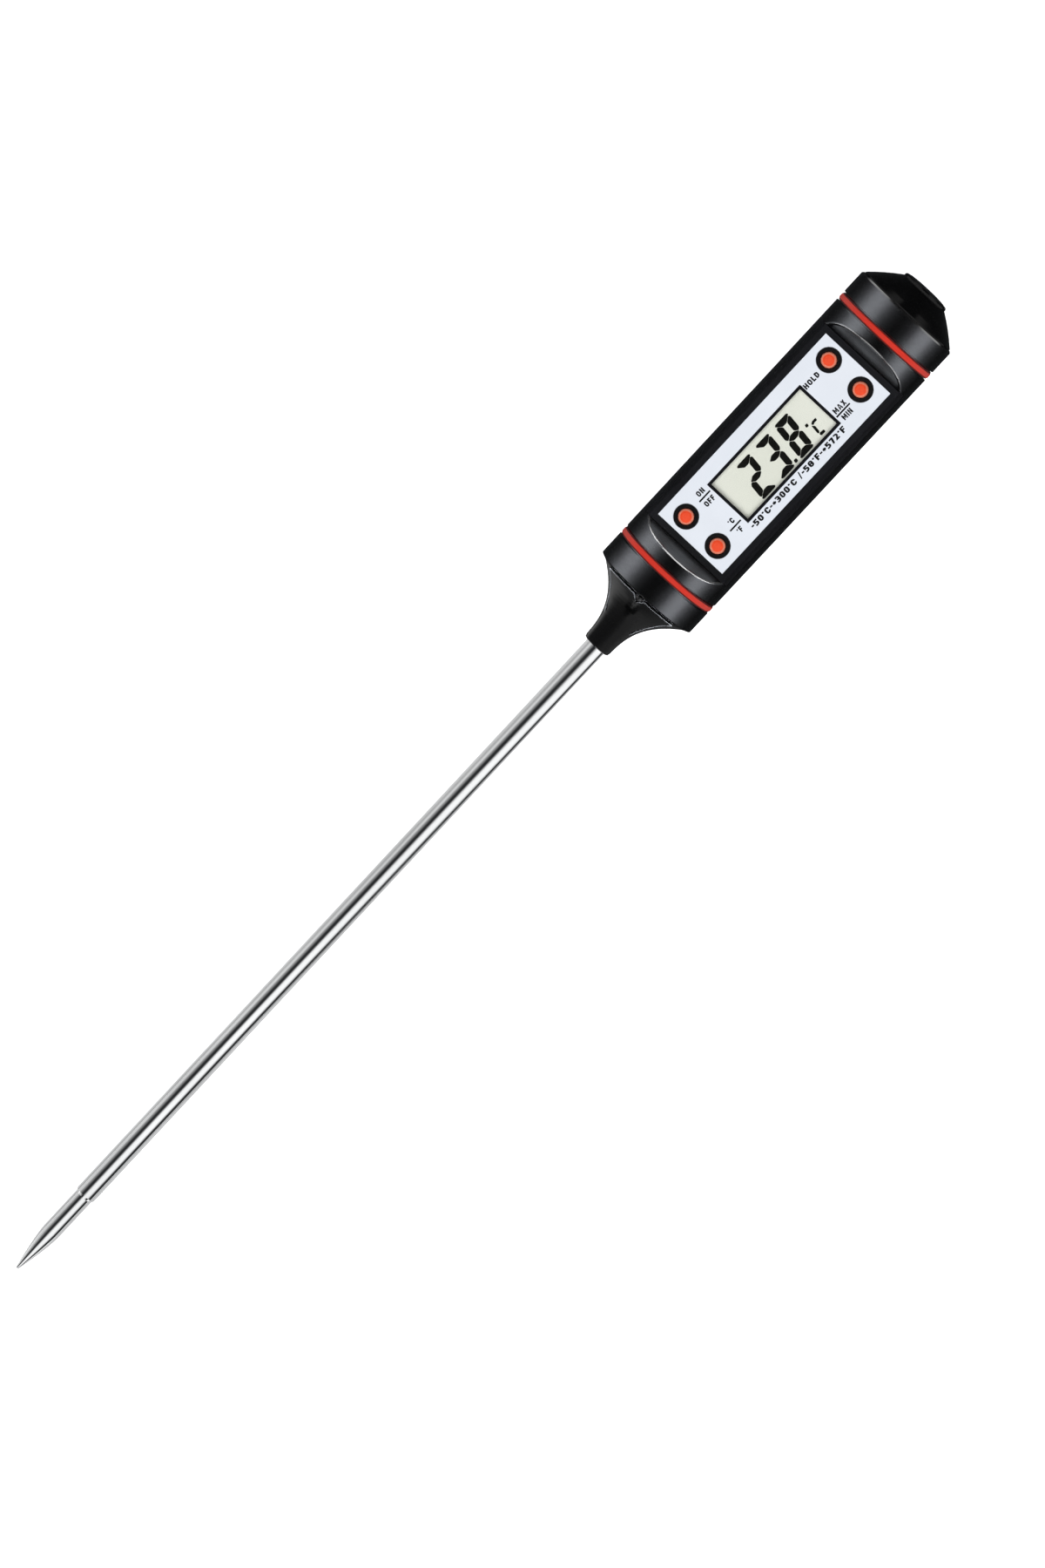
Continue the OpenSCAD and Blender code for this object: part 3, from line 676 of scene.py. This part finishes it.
ring_profile = [(-0.72, 9.96), (-0.72, 10.28), (-0.69, 10.33), (-0.47, 10.35), (-0.46, 10.42), (-0.41, 10.47), (-0.33, 10.495),
                (-0.20, 10.50), (0.20, 10.50), (0.33, 10.495), (0.41, 10.47), (0.46, 10.42), (0.47, 10.35), (0.69, 10.33),
                (0.72, 10.28), (0.72, 9.96)]
front_band = lathe_piece("front_band", ring_profile, 46.55 - 27.95, MATS["orange_rubber"], "front_ring")
rear_band = lathe_piece("rear_band", ring_profile, 46.55 + 27.95, MATS["orange_rubber"], "rear_ring")


# Fine rounded edges along the petals on the nose
def nose_radius(x):
    u = x / 12.6
    return 2.75 + 6.6 * (0.03 * u + 0.97 * u ** 2.75)


def nose_point(x, y, lift=0.22):
    r = nose_radius(x) + lift
    return Vector((NECK_X + x * MM, y * MM, AXIS_Z + math.sqrt(max(0.0, r * r - y * y)) * MM))


def bead(bm, path, radius, flip=False):
    """Closed tube along points, tapered at both ends, half sunk into the surface."""
    pts = [nose_point(x, y) for x, y in path]
    if flip:
        pts = [Vector((p.x, p.y, 2 * AXIS_Z - p.z)) for p in pts]
    n, sides = len(pts), 10
    rows = []
    for i, p in enumerate(pts):
        d = (pts[min(i + 1, n - 1)] - pts[max(i - 1, 0)]).normalized()
        out = Vector((0, p.y, p.z - AXIS_Z)).normalized()
        side = d.cross(out).normalized()
        up = side.cross(d).normalized()
        r = radius * MM * min(1.0, 0.25 + 0.25 * i, 0.25 + 0.25 * (n - 1 - i))
        c = p - up * r * 0.25
        rows.append([bm.verts.new(c + side * r * math.cos(2 * math.pi * k / sides) + up * r * math.sin(2 * math.pi * k / sides))
                     for k in range(sides)])
    for a, b in zip(rows, rows[1:]):
        for k in range(sides):
            q = (k + 1) % sides
            bm.faces.new((a[k], a[q], b[q], b[k]))
    bm.faces.new(list(reversed(rows[0])))
    bm.faces.new(rows[-1])


def smooth_path(stops, step=0.25):
    made = []
    for (xa, ya), (xb, yb) in zip(stops, stops[1:]):
        m = max(1, int(math.hypot(xb - xa, yb - ya) / step))
        made += [(xa + (xb - xa) * i / m, ya + (yb - ya) * i / m) for i in range(m)]
    return made + [stops[-1]]


side_edge = [(5.6, 3.03), (6.8, 3.47), (7.8, 3.97), (8.8, 4.52), (9.8, 5.17), (10.8, 5.92), (11.5, 6.55), (12.05, 7.18), (12.34, 7.38),
             (12.41, 7.20)]
rear_edge = [(12.41, 7.20), (12.41, 1.27), (11.42, 0.14)]
bm = bmesh.new()
for s in (1, -1):
    for flip in (False, True):
        bead(bm, smooth_path([(x, s * y) for x, y in side_edge + rear_edge[1:]]), 0.11, flip)
bmesh.ops.recalc_face_normals(bm, faces=bm.faces)
mesh = bpy.data.meshes.new("petal_edges")
bm.to_mesh(mesh)
bm.free()
mesh.polygons.foreach_set("use_smooth", [True] * len(mesh.polygons))
petal_edges = new_piece("petal_edges", mesh, BEAD, "handle")


# ------------------------------------------------------------------ lettering
# Plain squared sans in units of the cap height. Each glyph is a width and a list of
# ("path", points, closed) or ("fill", outline) parts that touch but never overlap.
W = 0.245
HW = W / 2


def glyph(ch):
    if ch == "O" or ch == "0":
        w = 0.68 if ch == "O" else 0.60
        r = 0.20 if ch == "O" else 0.17
        pts = arc(w - HW - r, 1 - HW - r, r, 0, 90) + arc(HW + r, 1 - HW - r, r, 90, 180) + \
            arc(HW + r, HW + r, r, 180, 270) + arc(w - HW - r, HW + r, r, 270, 360)
        return w, [("path", pts, True)]
    if ch == "D":
        w, r = 0.64, 0.26
        pts = [(HW, HW)] + arc(w - HW - r, HW + r, r, 270, 360) + arc(w - HW - r, 1 - HW - r, r, 0, 90) + [(HW, 1 - HW)]
        return w, [("path", pts, True)]
    if ch == "C":
        w, r = 0.63, 0.19
        pts = [(w - HW, 0.63)] + arc(w - HW - r, 1 - HW - r, r, 0, 90) + arc(HW + r, 1 - HW - r, r, 90, 180) + \
            arc(HW + r, HW + r, r, 180, 270) + arc(w - HW - r, HW + r, r, 270, 360) + [(w - HW, 0.37)]
        return w, [("path", pts, False)]
    if ch == "N":
        w, d = 0.66, 0.34
        return w, [("fill", [(0, 0), (W, 0), (W, 1), (0, 1)]), ("fill", [(w - W, 0), (w, 0), (w, 1), (w - W, 1)]),
                   ("fill", [(W - 0.01, 1 - d), (w - W + 0.01, 0.004), (w - W + 0.01, d), (W - 0.01, 0.996)])]
    if ch == "M":
        w, d, low = 0.84, 0.44, 0.10
        return w, [("fill", [(0, 0), (W, 0), (W, 1), (0, 1)]), ("fill", [(w - W, 0), (w, 0), (w, 1), (w - W, 1)]),
                   ("fill", [(W - 0.01, 1 - d), (w / 2, low), (w - W + 0.01, 1 - d), (w - W + 0.01, 0.996), (w / 2, low + d),
                            (W - 0.01, 0.996)])]
    if ch == "I":
        return W, [("fill", [(0, 0), (W, 0), (W, 1), (0, 1)])]
    if ch == "H":
        w = 0.66
        return w, [("fill", [(0, 0), (W, 0), (W, 1), (0, 1)]), ("fill", [(w - W, 0), (w, 0), (w, 1), (w - W, 1)]),
                   ("fill", [(W, 0.5 - HW), (w - W, 0.5 - HW), (w - W, 0.5 + HW), (W, 0.5 + HW)])]
    if ch == "L":
        return 0.54, [("path", [(HW, 1), (HW, HW), (0.54, HW)], False)]
    if ch == "F":
        return 0.56, [("path", [(HW, 0), (HW, 1 - HW), (0.56, 1 - HW)], False),
                      ("fill", [(W, 0.49 - HW), (0.48, 0.49 - HW), (0.48, 0.49 + HW), (W, 0.49 + HW)])]
    if ch == "A":
        w, t, h = 0.76, 0.225, 0.12
        sx = (w / 2 - t) / (1 - 0.2)
        y0, y1 = 0.20, 0.34
        x0, x1 = t + sx * y0, t + sx * y1
        return w, [("fill", [(0, 0), (t, 0), (w / 2, 0.8), (w - t, 0), (w, 0), (w / 2 + h, 1), (w / 2 - h, 1)]),
                   ("fill", [(x0, y0), (w - x0, y0), (w - x1, y1), (x1, y1)])]
    if ch == "X":
        w, h = 0.72, 0.25
        k = w / (2 * (w - h))
        return w, [("fill", [(0, 0), (h, 0), (w / 2, 1 - k), (w - h, 0), (w, 0), ((w + h) / 2, 0.5), (w, 1), (w - h, 1),
                             (w / 2, k), (h, 1), (0, 1), ((w - h) / 2, 0.5)])]
    if ch == "5":
        w, r = 0.56, 0.20
        pts = [(w - 0.03, 1 - HW), (HW, 1 - HW), (HW, 0.57)] + arc(w - HW - r, 0.57 - r, r, 90, 0) + \
            arc(w - HW - r, HW + r, r, 0, -90) + [(0.0, HW)]
        return w, [("path", pts, False)]
    if ch == "3":
        w, r = 0.54, 0.18
        pts = [(0.0, 1 - HW)] + arc(w - HW - r, 1 - HW - r, r, 90, 0) + arc(w - HW - r, HW + r, r, 0, -90) + [(0.0, HW)]
        return w, [("path", pts, False), ("fill", [(0.12, 0.5 - HW), (w - W, 0.5 - HW), (w - W, 0.5 + HW), (0.12, 0.5 + HW)])]
    if ch == "8":
        w, r = 0.62, 0.18
        pts = arc(w - HW - r, 1 - HW - r, r, 0, 90) + arc(HW + r, 1 - HW - r, r, 90, 180) + \
            arc(HW + r, HW + r, r, 180, 270) + arc(w - HW - r, HW + r, r, 270, 360)
        return w, [("path", pts, True), ("fill", [(W, 0.52 - HW), (w - W, 0.52 - HW), (w - W, 0.52 + HW), (W, 0.52 + HW)])]
    if ch == "7":
        w = 0.54
        return w, [("path", [(0.0, 1 - HW), (w - HW - 0.01, 1 - HW), (0.22, 0.0)], False)]
    if ch == "2":
        w, r = 0.55, 0.20
        pts = [(0.01, 1 - HW)] + arc(w - HW - r, 1 - HW - r, r, 90, -25) + [(HW + 0.03, HW + 0.05), (w, HW)]
        pts[-2] = (HW + 0.02, HW)
        return w, [("path", pts, False)]
    if ch == "°":
        return 0.26, [("fill", arc(0.13, 0.80, 0.14, 0, 337.5, 15))]
    if ch == "+":
        w = 0.46
        a, b = (w - W) / 2, (w + W) / 2
        lo, hi = 0.5 - w / 2, 0.5 + w / 2
        return w, [("fill", [(a, lo), (b, lo), (b, hi), (a, hi)]), ("fill", [(0, 0.5 - HW), (a, 0.5 - HW), (a, 0.5 + HW), (0, 0.5 + HW)]),
                   ("fill", [(b, 0.5 - HW), (w, 0.5 - HW), (w, 0.5 + HW), (b, 0.5 + HW)])]
    if ch == "-":
        return 0.34, [("fill", [(0, 0.5 - HW), (0.34, 0.5 - HW), (0.34, 0.5 + HW), (0, 0.5 + HW)])]
    if ch == "/":
        return 0.40, [("fill", [(0, -0.08), (0.15, -0.08), (0.40, 1.08), (0.25, 1.08)])]
    return 0.28, []


def text_width(text, gap):
    return sum(glyph(c)[0] for c in text) + gap * (len(text) - 1)


def lettering(name, text, u, v, cap, width=None, gap=0.17):
    """Printed legend centred at (u, v) millimetres from the bay's middle; cap is its cap height."""
    bm = bmesh.new()
    total = text_width(text, gap)
    sx = (width / (total * cap)) if width else 1.0
    x = -total / 2
    z0, z1 = panel_hi.z, panel_hi.z + 0.022 * MM

    def place(p):
        return (BAY_X + (u + (x + p[0]) * cap * sx) * MM, (v + (p[1] - 0.5) * cap) * MM)

    for c in text:
        w, parts = glyph(c)
        for part in parts:
            if part[0] == "fill":
                pts = [place(p) for p in part[1]]
                if area2(pts) < 0:
                    pts.reverse()
                prism(bm, pts, z0, z1)
            else:
                left = side_points(part[1], part[2], HW)
                right = side_points(part[1], part[2], -HW)
                if part[2]:
                    a, b = [place(p) for p in left], [place(p) for p in right]
                    if abs(area2(a)) < abs(area2(b)):
                        a, b = b, a
                    if area2(a) < 0:
                        a.reverse()
                        b.reverse()
                    ring_prism(bm, a, b, z0, z1)
                else:
                    pts = [place(p) for p in left] + [place(p) for p in reversed(right)]
                    if area2(pts) < 0:
                        pts.reverse()
                    prism(bm, pts, z0, z1)
        x += w + gap
    mesh = bpy.data.meshes.new(name)
    bm.to_mesh(mesh)
    bm.free()
    return new_piece(name, mesh, PRINT, "handle")


def rule(name, u0, u1, v, thick=0.30):
    bm = bmesh.new()
    z0, z1 = panel_hi.z, panel_hi.z + 0.022 * MM
    pts = [(BAY_X + u0 * MM, (v - thick / 2) * MM), (BAY_X + u1 * MM, (v - thick / 2) * MM),
           (BAY_X + u1 * MM, (v + thick / 2) * MM), (BAY_X + u0 * MM, (v + thick / 2) * MM)]
    prism(bm, pts, z0, z1, 0.008 * MM)
    mesh = bpy.data.meshes.new(name)
    bm.to_mesh(mesh)
    bm.free()
    return new_piece(name, mesh, PRINT, "handle")


CAP = 1.03
lettering("legend_on", "ON", -13.63, 4.87, CAP)
rule("legend_rule_power", -15.00, -12.26, 3.80)
lettering("legend_off", "OFF", -13.63, 2.65, CAP)
lettering("legend_celsius", "°C", -13.70, -2.55, CAP)
rule("legend_rule_unit", -15.07, -12.33, -3.61)
lettering("legend_fahrenheit", "°F", -13.69, -4.66, CAP)
lettering("legend_hold", "HOLD", 13.78, 3.92, CAP, width=3.48)
lettering("legend_max", "MAX", 13.78, -2.77, CAP)
rule("legend_rule_max", 12.12, 15.45, -3.65)
lettering("legend_min", "MIN", 13.79, -4.59, CAP)
lettering("legend_range", "-50°C-+300°C /-58°F-+572°F", -0.10, -5.89, 1.12, width=23.68, gap=0.13)


# ------------------------------------------------------------------ display
def frame_outline(hx, hy, cx=0.0, cy=0.0, r=0.08):
    pts = arc(cx + hx - r, cy - hy + r, r, 270, 360, 2) + arc(cx + hx - r, cy + hy - r, r, 0, 90, 2) + \
        arc(cx - hx + r, cy + hy - r, r, 90, 180, 2) + arc(cx - hx + r, cy - hy + r, r, 180, 270, 2)
    return [(BAY_X + a * MM, b * MM) for a, b in pts]


bm = bmesh.new()
cy = -0.015
ring_prism(bm, frame_outline(11.90, 4.93, 0, cy), frame_outline(11.34, 4.37, 0, cy, 0.04),
           panel_hi.z, panel_hi.z + 0.03 * MM)
mesh = bpy.data.meshes.new("display_border")
bm.to_mesh(mesh)
bm.free()
new_piece("display_border", mesh, PRINT, "handle")

SEG_Z0 = glass_hi.z
SEG_Z1 = glass_hi.z + 0.03 * MM
DIG_Y, DIG_TOP = -4.12, 3.28
DIG_W, DIG_T, SHEAR = 3.46, 1.20, 0.13


def rounded(pts, r, n=3):
    """Rounds the corners of an outline."""
    made = []
    k = len(pts)
    for i in range(k):
        p, a, b = Vector(pts[i]), Vector(pts[i - 1]), Vector(pts[(i + 1) % k])
        da, db = (a - p), (b - p)
        ra = min(r, da.length * 0.45, db.length * 0.45)
        p0, p1 = p + da.normalized() * ra, p + db.normalized() * ra
        for j in range(n + 1):
            s = j / n
            q = p0 * (1 - s) ** 2 + p * 2 * s * (1 - s) + p1 * s ** 2
            made.append((q.x, q.y))
    return made


def segments(lit, x0, y0, y1, w, t, gap=0.075):
    """Outlines of the lit segments of one digit, before slanting."""
    ym = (y0 + y1) / 2
    h = t / 2
    c = t * 0.62            # how far the outer corners are cut
    g = gap
    out = {}
    out["a"] = [(x0 + g + 0.28, y1), (x0 + w - g - 0.28, y1), (x0 + w - g * 0.6, y1 - 0.28), (x0 + w - t - g * 0.2, y1 - t), (x0 + t + g * 0.2, y1 - t), (x0 + g * 0.6, y1 - 0.28)]
    out["d"] = [(x0 + w - g - 0.28, y0), (x0 + g + 0.28, y0), (x0 + g * 0.6, y0 + 0.28), (x0 + t + g * 0.2, y0 + t), (x0 + w - t - g * 0.2, y0 + t), (x0 + w - g * 0.6, y0 + 0.28)]
    out["g"] = [(x0 + g + 0.30, ym), (x0 + t * 0.95 + g, ym + h * 0.92), (x0 + w - t * 0.95 - g, ym + h * 0.92), (x0 + w - g - 0.30, ym), (x0 + w - t * 0.95 - g, ym - h * 0.92), (x0 + t * 0.95 + g, ym - h * 0.92)]
    out["b"] = [(x0 + w, y1 - c - g), (x0 + w, ym + h * 0.75 + g), (x0 + w - h * 0.7, ym + g), (x0 + w - t, ym + h + g * 0.6), (x0 + w - t, y1 - t - g * 0.9), (x0 + w - h * 0.55, y1 - c * 0.6 - g)]
    out["c"] = [(x0 + w, y0 + c + g), (x0 + w, ym - h * 0.75 - g), (x0 + w - h * 0.7, ym - g), (x0 + w - t, ym - h - g * 0.6), (x0 + w - t, y0 + t + g * 0.9), (x0 + w - h * 0.55, y0 + c * 0.6 + g)]
    out["f"] = [(2 * x0 + w - p[0], p[1]) for p in out["b"]]
    out["e"] = [(2 * x0 + w - p[0], p[1]) for p in out["c"]]
    return [out[s] for s in lit]


def slanted(pts, y0):
    return [(BAY_X + (x + (y - y0) * SHEAR) * MM, y * MM) for x, y in pts]


def lcd_piece(name, outlines, y0, r=0.22):
    bm = bmesh.new()
    for o in outlines:
        pts = slanted(rounded(o, r), y0)
        if area2(pts) < 0:
            pts.reverse()
        prism(bm, pts, SEG_Z0, SEG_Z1)
    mesh = bpy.data.meshes.new(name)
    bm.to_mesh(mesh)
    bm.free()
    return new_piece(name, mesh, SEGMENT, "handle")


lcd_piece("digit_tens", segments("abged", -7.26, DIG_Y, DIG_TOP, DIG_W, DIG_T), DIG_Y)
lcd_piece("digit_units", segments("abgcd", -2.41, DIG_Y, DIG_TOP, DIG_W, DIG_T), DIG_Y)
lcd_piece("digit_tenths", segments("abcdefg", 2.44, DIG_Y, DIG_TOP, DIG_W, DIG_T), DIG_Y)
lcd_piece("decimal_point", [[(1.40, -3.91), (2.04, -3.91), (2.04, -3.27), (1.40, -3.27)]], -3.59, 0.2)
lcd_piece("degree_dot", [[(7.16, -1.10), (7.76, -1.10), (7.76, -0.52), (7.16, -0.52)]], -0.81, 0.2)
lcd_piece("unit_letter", [
    [(8.18, -0.98), (9.10, -0.98), (9.10, -1.46), (8.42, -1.46), (8.10, -1.62), (7.78, -1.30)],
    [(7.66, -1.44), (8.02, -1.76), (8.16, -1.90), (8.16, -3.04), (7.90, -3.36), (7.66, -3.10)],
    [(7.80, -3.52), (8.06, -3.30), (8.96, -3.42), (8.96, -3.90), (8.02, -3.90)]], -3.90, 0.10)


# ------------------------------------------------------------------ floor, backdrop, lights
def plain(name, shader, **sockets):
    t = Tree(name)
    n = t.node(shader)
    for k, v in sockets.items():
        n.inputs[k].default_value = v
    t.link(n.outputs[0], t.out.inputs["Surface"])
    return t.mat


def stage_mesh(name, verts, faces, mat, smooth=False):
    mesh = bpy.data.meshes.new(name)
    mesh.from_pydata(verts, [], faces)
    if smooth:
        mesh.polygons.foreach_set("use_smooth", [True] * len(mesh.polygons))
    mesh.materials.append(mat)
    o = bpy.data.objects.new(name, mesh)
    scene.collection.objects.link(o)
    o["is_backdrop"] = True
    return o


def only(o, camera=False, diffuse=False, glossy=False, transmission=False, shadow=False):
    o.visible_camera = camera
    o.visible_diffuse = diffuse
    o.visible_glossy = glossy
    o.visible_transmission = transmission
    o.visible_volume_scatter = False
    o.visible_shadow = shadow


# Pale floor, lit from inside a little so that it stays evenly white
t = Tree("floor_pale")
p = t.principled((0.80, 0.80, 0.80), 0.9)
p.inputs["Emission Color"].default_value = (1.0, 1.0, 1.0, 1.0)
p.inputs["Emission Strength"].default_value = 0.85
p.inputs["Specular IOR Level"].default_value = 0.0
R_FLOOR = 5.0
ring = [(R_FLOOR * math.cos(2 * math.pi * i / 48), R_FLOOR * math.sin(2 * math.pi * i / 48), 0.0) for i in range(48)]
floor = stage_mesh("floor", ring, [tuple(range(48))], t.mat)
only(floor, camera=True, diffuse=True, glossy=False, transmission=True, shadow=True)

# Backdrop dome for low views
dome_mat = plain("backdrop_pale", "ShaderNodeEmission", Color=(1, 1, 1, 1), Strength=1.0)
verts, faces = [], []
for j in range(9):
    e = math.radians(90 * j / 8 - 2)
    for i in range(48):
        a = 2 * math.pi * i / 48
        verts.append((5.2 * math.cos(e) * math.cos(a), 5.2 * math.cos(e) * math.sin(a), 5.2 * math.sin(e)))
for j in range(8):
    for i in range(48):
        k = (i + 1) % 48
        faces.append((j * 48 + i, (j + 1) * 48 + i, (j + 1) * 48 + k, j * 48 + k))
dome = stage_mesh("backdrop", verts, faces, dome_mat, True)
only(dome, camera=True, transmission=True)


def lit_by(card_object, receivers):
    """Keeps a studio card to the pieces it was set up for."""
    group = bpy.data.collections.new(card_object.name + "_for")
    for r in receivers:
        group.objects.link(r)
    card_object.light_linking.receiver_collection = group


def glow_material(name, colour):
    """Studio card: shines by its own glow value and lets other cards be seen through it."""
    t = Tree(name)
    e = t.node("ShaderNodeEmission")
    e.inputs["Color"].default_value = (*colour, 1.0)
    at = t.node("ShaderNodeAttribute", attribute_name="glow")
    t.link(at.outputs["Fac"], e.inputs["Strength"])
    clear = t.node("ShaderNodeBsdfTransparent")
    add = t.node("ShaderNodeAddShader")
    t.link(e.outputs[0], add.inputs[0])
    t.link(clear.outputs[0], add.inputs[1])
    t.link(add.outputs[0], t.out.inputs["Surface"])
    return t.mat


def level(profile, a):
    if a <= profile[0][0]:
        return profile[0][1]
    for (p0, v0), (p1, v1) in zip(profile, profile[1:]):
        if a <= p1:
            return v0 + (v1 - v0) * (a - p0) / (p1 - p0)
    return profile[-1][1]


def card(name, x0, x1, profile, receivers, colour=(1, 1, 1), radius=0.8, twist=0.0, span=(-0.40, 0.0), near=0.0, columns=2):
    """Curved studio card about the handle's axis, seen only in reflections.
    profile: (angle from straight up, positive towards -Y, brightness) stops. twist: degrees the
    pattern turns for each metre along X between the two ends of span, from none at its first end."""
    steps = 96
    a0, a1 = profile[0][0], profile[-1][0]
    lo_a, hi_a = max(-179.0, a0 - 40.0 * (twist != 0)), min(179.0, a1 + 40.0 * (twist != 0))
    verts, faces, vals = [], [], []
    for i in range(steps + 1):
        a = lo_a + (hi_a - lo_a) * i / steps
        for j in range(columns):
            x = x0 + (x1 - x0) * j / (columns - 1)
            verts.append((x, -radius * math.sin(math.radians(a)), AXIS_Z + radius * math.cos(math.radians(a))))
            turned = a - twist * (min(max(x, span[0]), span[1]) - span[0]) * (1.0 + near * min(max(a, 0.0), 80.0) / 80.0)
            vals.append(level(profile, turned))
    for i in range(steps):
        for j in range(columns - 1):
            k = i * columns + j
            faces.append((k, k + 1, k + columns + 1, k + columns))
    o = stage_mesh(name, verts, faces, glow_material(name, colour), True)
    attr = o.data.attributes.new("glow", "FLOAT", "POINT")
    attr.data.foreach_set("value", vals)
    only(o, glossy=True)
    lit_by(o, receivers)
    return o


def end_card(name, tilt0, tilt1, side, half, strength, receivers, radius=0.9, colour=(1, 1, 1)):
    """Curved card over one end of the instrument: tilt is measured from straight up towards +X (side 1) or -X (side -1)."""
    verts, faces, vals = [], [], []
    steps = 24
    for i in range(steps + 1):
        a = math.radians(tilt0 + (tilt1 - tilt0) * i / steps)
        soft = min(1.0, 4.0 * min(i, steps - i) / steps)
        x, z = BAY_X + side * radius * math.sin(a), AXIS_Z + radius * math.cos(a)
        for y, f in ((-half, 0.0), (-half * 0.7, 1.0), (half * 0.7, 1.0), (half, 0.0)):
            verts.append((x, y, z))
            vals.append(strength * soft * f)
    for i in range(steps):
        for j in range(3):
            k = i * 4 + j
            faces.append((k, k + 1, k + 5, k + 4))
    o = stage_mesh(name, verts, faces, glow_material(name, colour), True)
    attr = o.data.attributes.new("glow", "FLOAT", "POINT")
    attr.data.foreach_set("value", vals)
    only(o, glossy=True)
    lit_by(o, receivers)
    return o


def floor_card(name, columns, across, receivers, near=None):
    """The white floor as one piece sees it: brightness stops along X, times stops away from the axis.
    near: stops along X for the -Y side, when they differ."""
    verts, faces, vals = [], [], []
    ys = [(-y, f) for y, f in reversed(across)] + [(y, f) for y, f in across if y > 0 or across[0][0] > 0]
    xs = sorted({x for x, v in columns} | {x for x, v in near or []})
    for x in xs:
        for y, f in ys:
            verts.append((x, y, -0.0002))
            vals.append(level(near if near and y < 0 else columns, x) * f)
    m = len(ys)
    for i in range(len(xs) - 1):
        for j in range(m - 1):
            k = i * m + j
            faces.append((k, k + m, k + m + 1, k + 1))
    o = stage_mesh(name, verts, faces, glow_material(name, (1, 1, 1)))
    attr = o.data.attributes.new("glow", "FLOAT", "POINT")
    attr.data.foreach_set("value", vals)
    only(o, glossy=True)
    lit_by(o, receivers)
    return o


COOL = (0.93, 0.97, 1.05)
stem_parts = [nodes["probe_tube"]]
nose_parts = [nodes["nose_cone"]]
cap_parts = [nodes["battery_cap"]]
shell_parts = [shell]
body_parts = [shell, front_band, rear_band]

card("card_body_far", -0.7, 0.7, [(-132, 0.007), (-120, 0.029), (-108, 0.108), (-96, 0.324), (-84, 0.864), (-74, 1.368), (-64, 1.548),
                                  (-56, 1.476), (-48, 1.116), (-36, 0.414), (-24, 0.108), (-12, 0.018), (-4, 0)], body_parts, COOL,
     twist=70.0, span=(-0.03, 0.09), columns=61)
card("card_body_near", -0.7, 0.7, [(8, 0), (14, 0.011), (24, 0.065), (36, 0.306), (48, 1.08), (56, 1.476), (66, 1.548),
                                   (73, 1.368), (84, 0.612), (96, 0.198), (108, 0.061), (120, 0.014)], body_parts, COOL)
STEM = [(-175, 0.78), (-144, 0.76), (-120, 0.68), (-102, 0.44), (-90, 0.60), (-76, 0.86), (-66, 0.72), (-56, 0.40), (-40, 0.12),
        (-30, 0.0), (-12, 0.0), (-4, 0.35), (3, 0.95), (12, 1.22), (36, 1.25), (48, 1.05), (57, 0.35), (63, 0.0), (80, 0.0),
        (86, 0.18), (94, 0.45), (102, 0.62), (112, 0.70), (175, 0.72)]
card("card_stem", -1.6, 0.7, STEM, stem_parts, twist=110.0, span=(-0.232, -0.05), near=1.15, columns=93)
card("card_stem_far", -14.0, -1.6, STEM, stem_parts)
card("card_stem_rear", 0.7, 14.0, STEM, stem_parts)
card("card_nose", -4.0, 0.7, [(-170, 0.15), (-60, 0.11), (-15, 0.09), (15, 0.12), (45, 0.30), (110, 0.26), (140, 0.10), (170, 0.05)], nose_parts)
card("card_cap", -0.7, 4.0, [(-120, 0.25), (-40, 0.42), (40, 0.42), (120, 0.30)], cap_parts)
end_card("card_rear_end", 22, 80, 1, 2.4, 5.8, shell_parts)
card("card_edges", -5.0, 5.0, [(-178, 4.5), (-110, 5.0), (-40, 4.0), (40, 4.0), (110, 5.0), (178, 4.5)], [petal_edges], COOL, radius=0.9)
end_card("card_front_end", 34, 84, -1, 2.4, 2.2, shell_parts)
floor_card("floor_for_nose", [(-2.0, 0.08), (-0.10, 0.10), (-0.04, 0.20), (0.0, 0.35), (0.022, 0.55), (0.038, 1.0), (0.08, 1.2)],
           [(0.0, 0.05), (0.0125, 0.06), (0.0165, 0.8), (0.022, 1.0), (0.035, 0.5), (0.5, 0.2)], nose_parts,
           near=[(-2.0, 0.03), (0.0, 0.04), (0.03, 0.06), (0.040, 0.15), (0.046, 0.45), (0.08, 0.6)])
floor_card("floor_for_tip", [(-6.0, 0.9), (-0.16, 0.9), (-0.128, 0.0)], [(0.0, 1.0), (3.0, 1.0)], stem_parts)
floor_card("floor_for_rim", [(0.125, 0.0), (0.135, 1.45), (0.28, 1.45), (0.34, 0.0)],
           [(0.018, 0.0), (0.026, 1.0), (0.10, 1.0), (0.16, 0.0)], shell_parts)

sun_data = bpy.data.lights.new("soft_top_light", "SUN")
sun_data.energy = 3.5
sun_data.angle = math.radians(70)
sun = bpy.data.objects.new("soft_top_light", sun_data)
scene.collection.objects.link(sun)
sun.rotation_euler = (math.radians(8), math.radians(-10), 0)
sun.visible_glossy = False
sun.visible_camera = False

world = bpy.data.worlds.new("World")
scene.world = world
world.use_nodes = True
bg = world.node_tree.nodes.get("Background") or world.node_tree.nodes.new("ShaderNodeBackground")
bg.inputs["Color"].default_value = (0.9, 0.95, 1.0, 1.0)
bg.inputs["Strength"].default_value = 0.03

lo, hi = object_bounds()
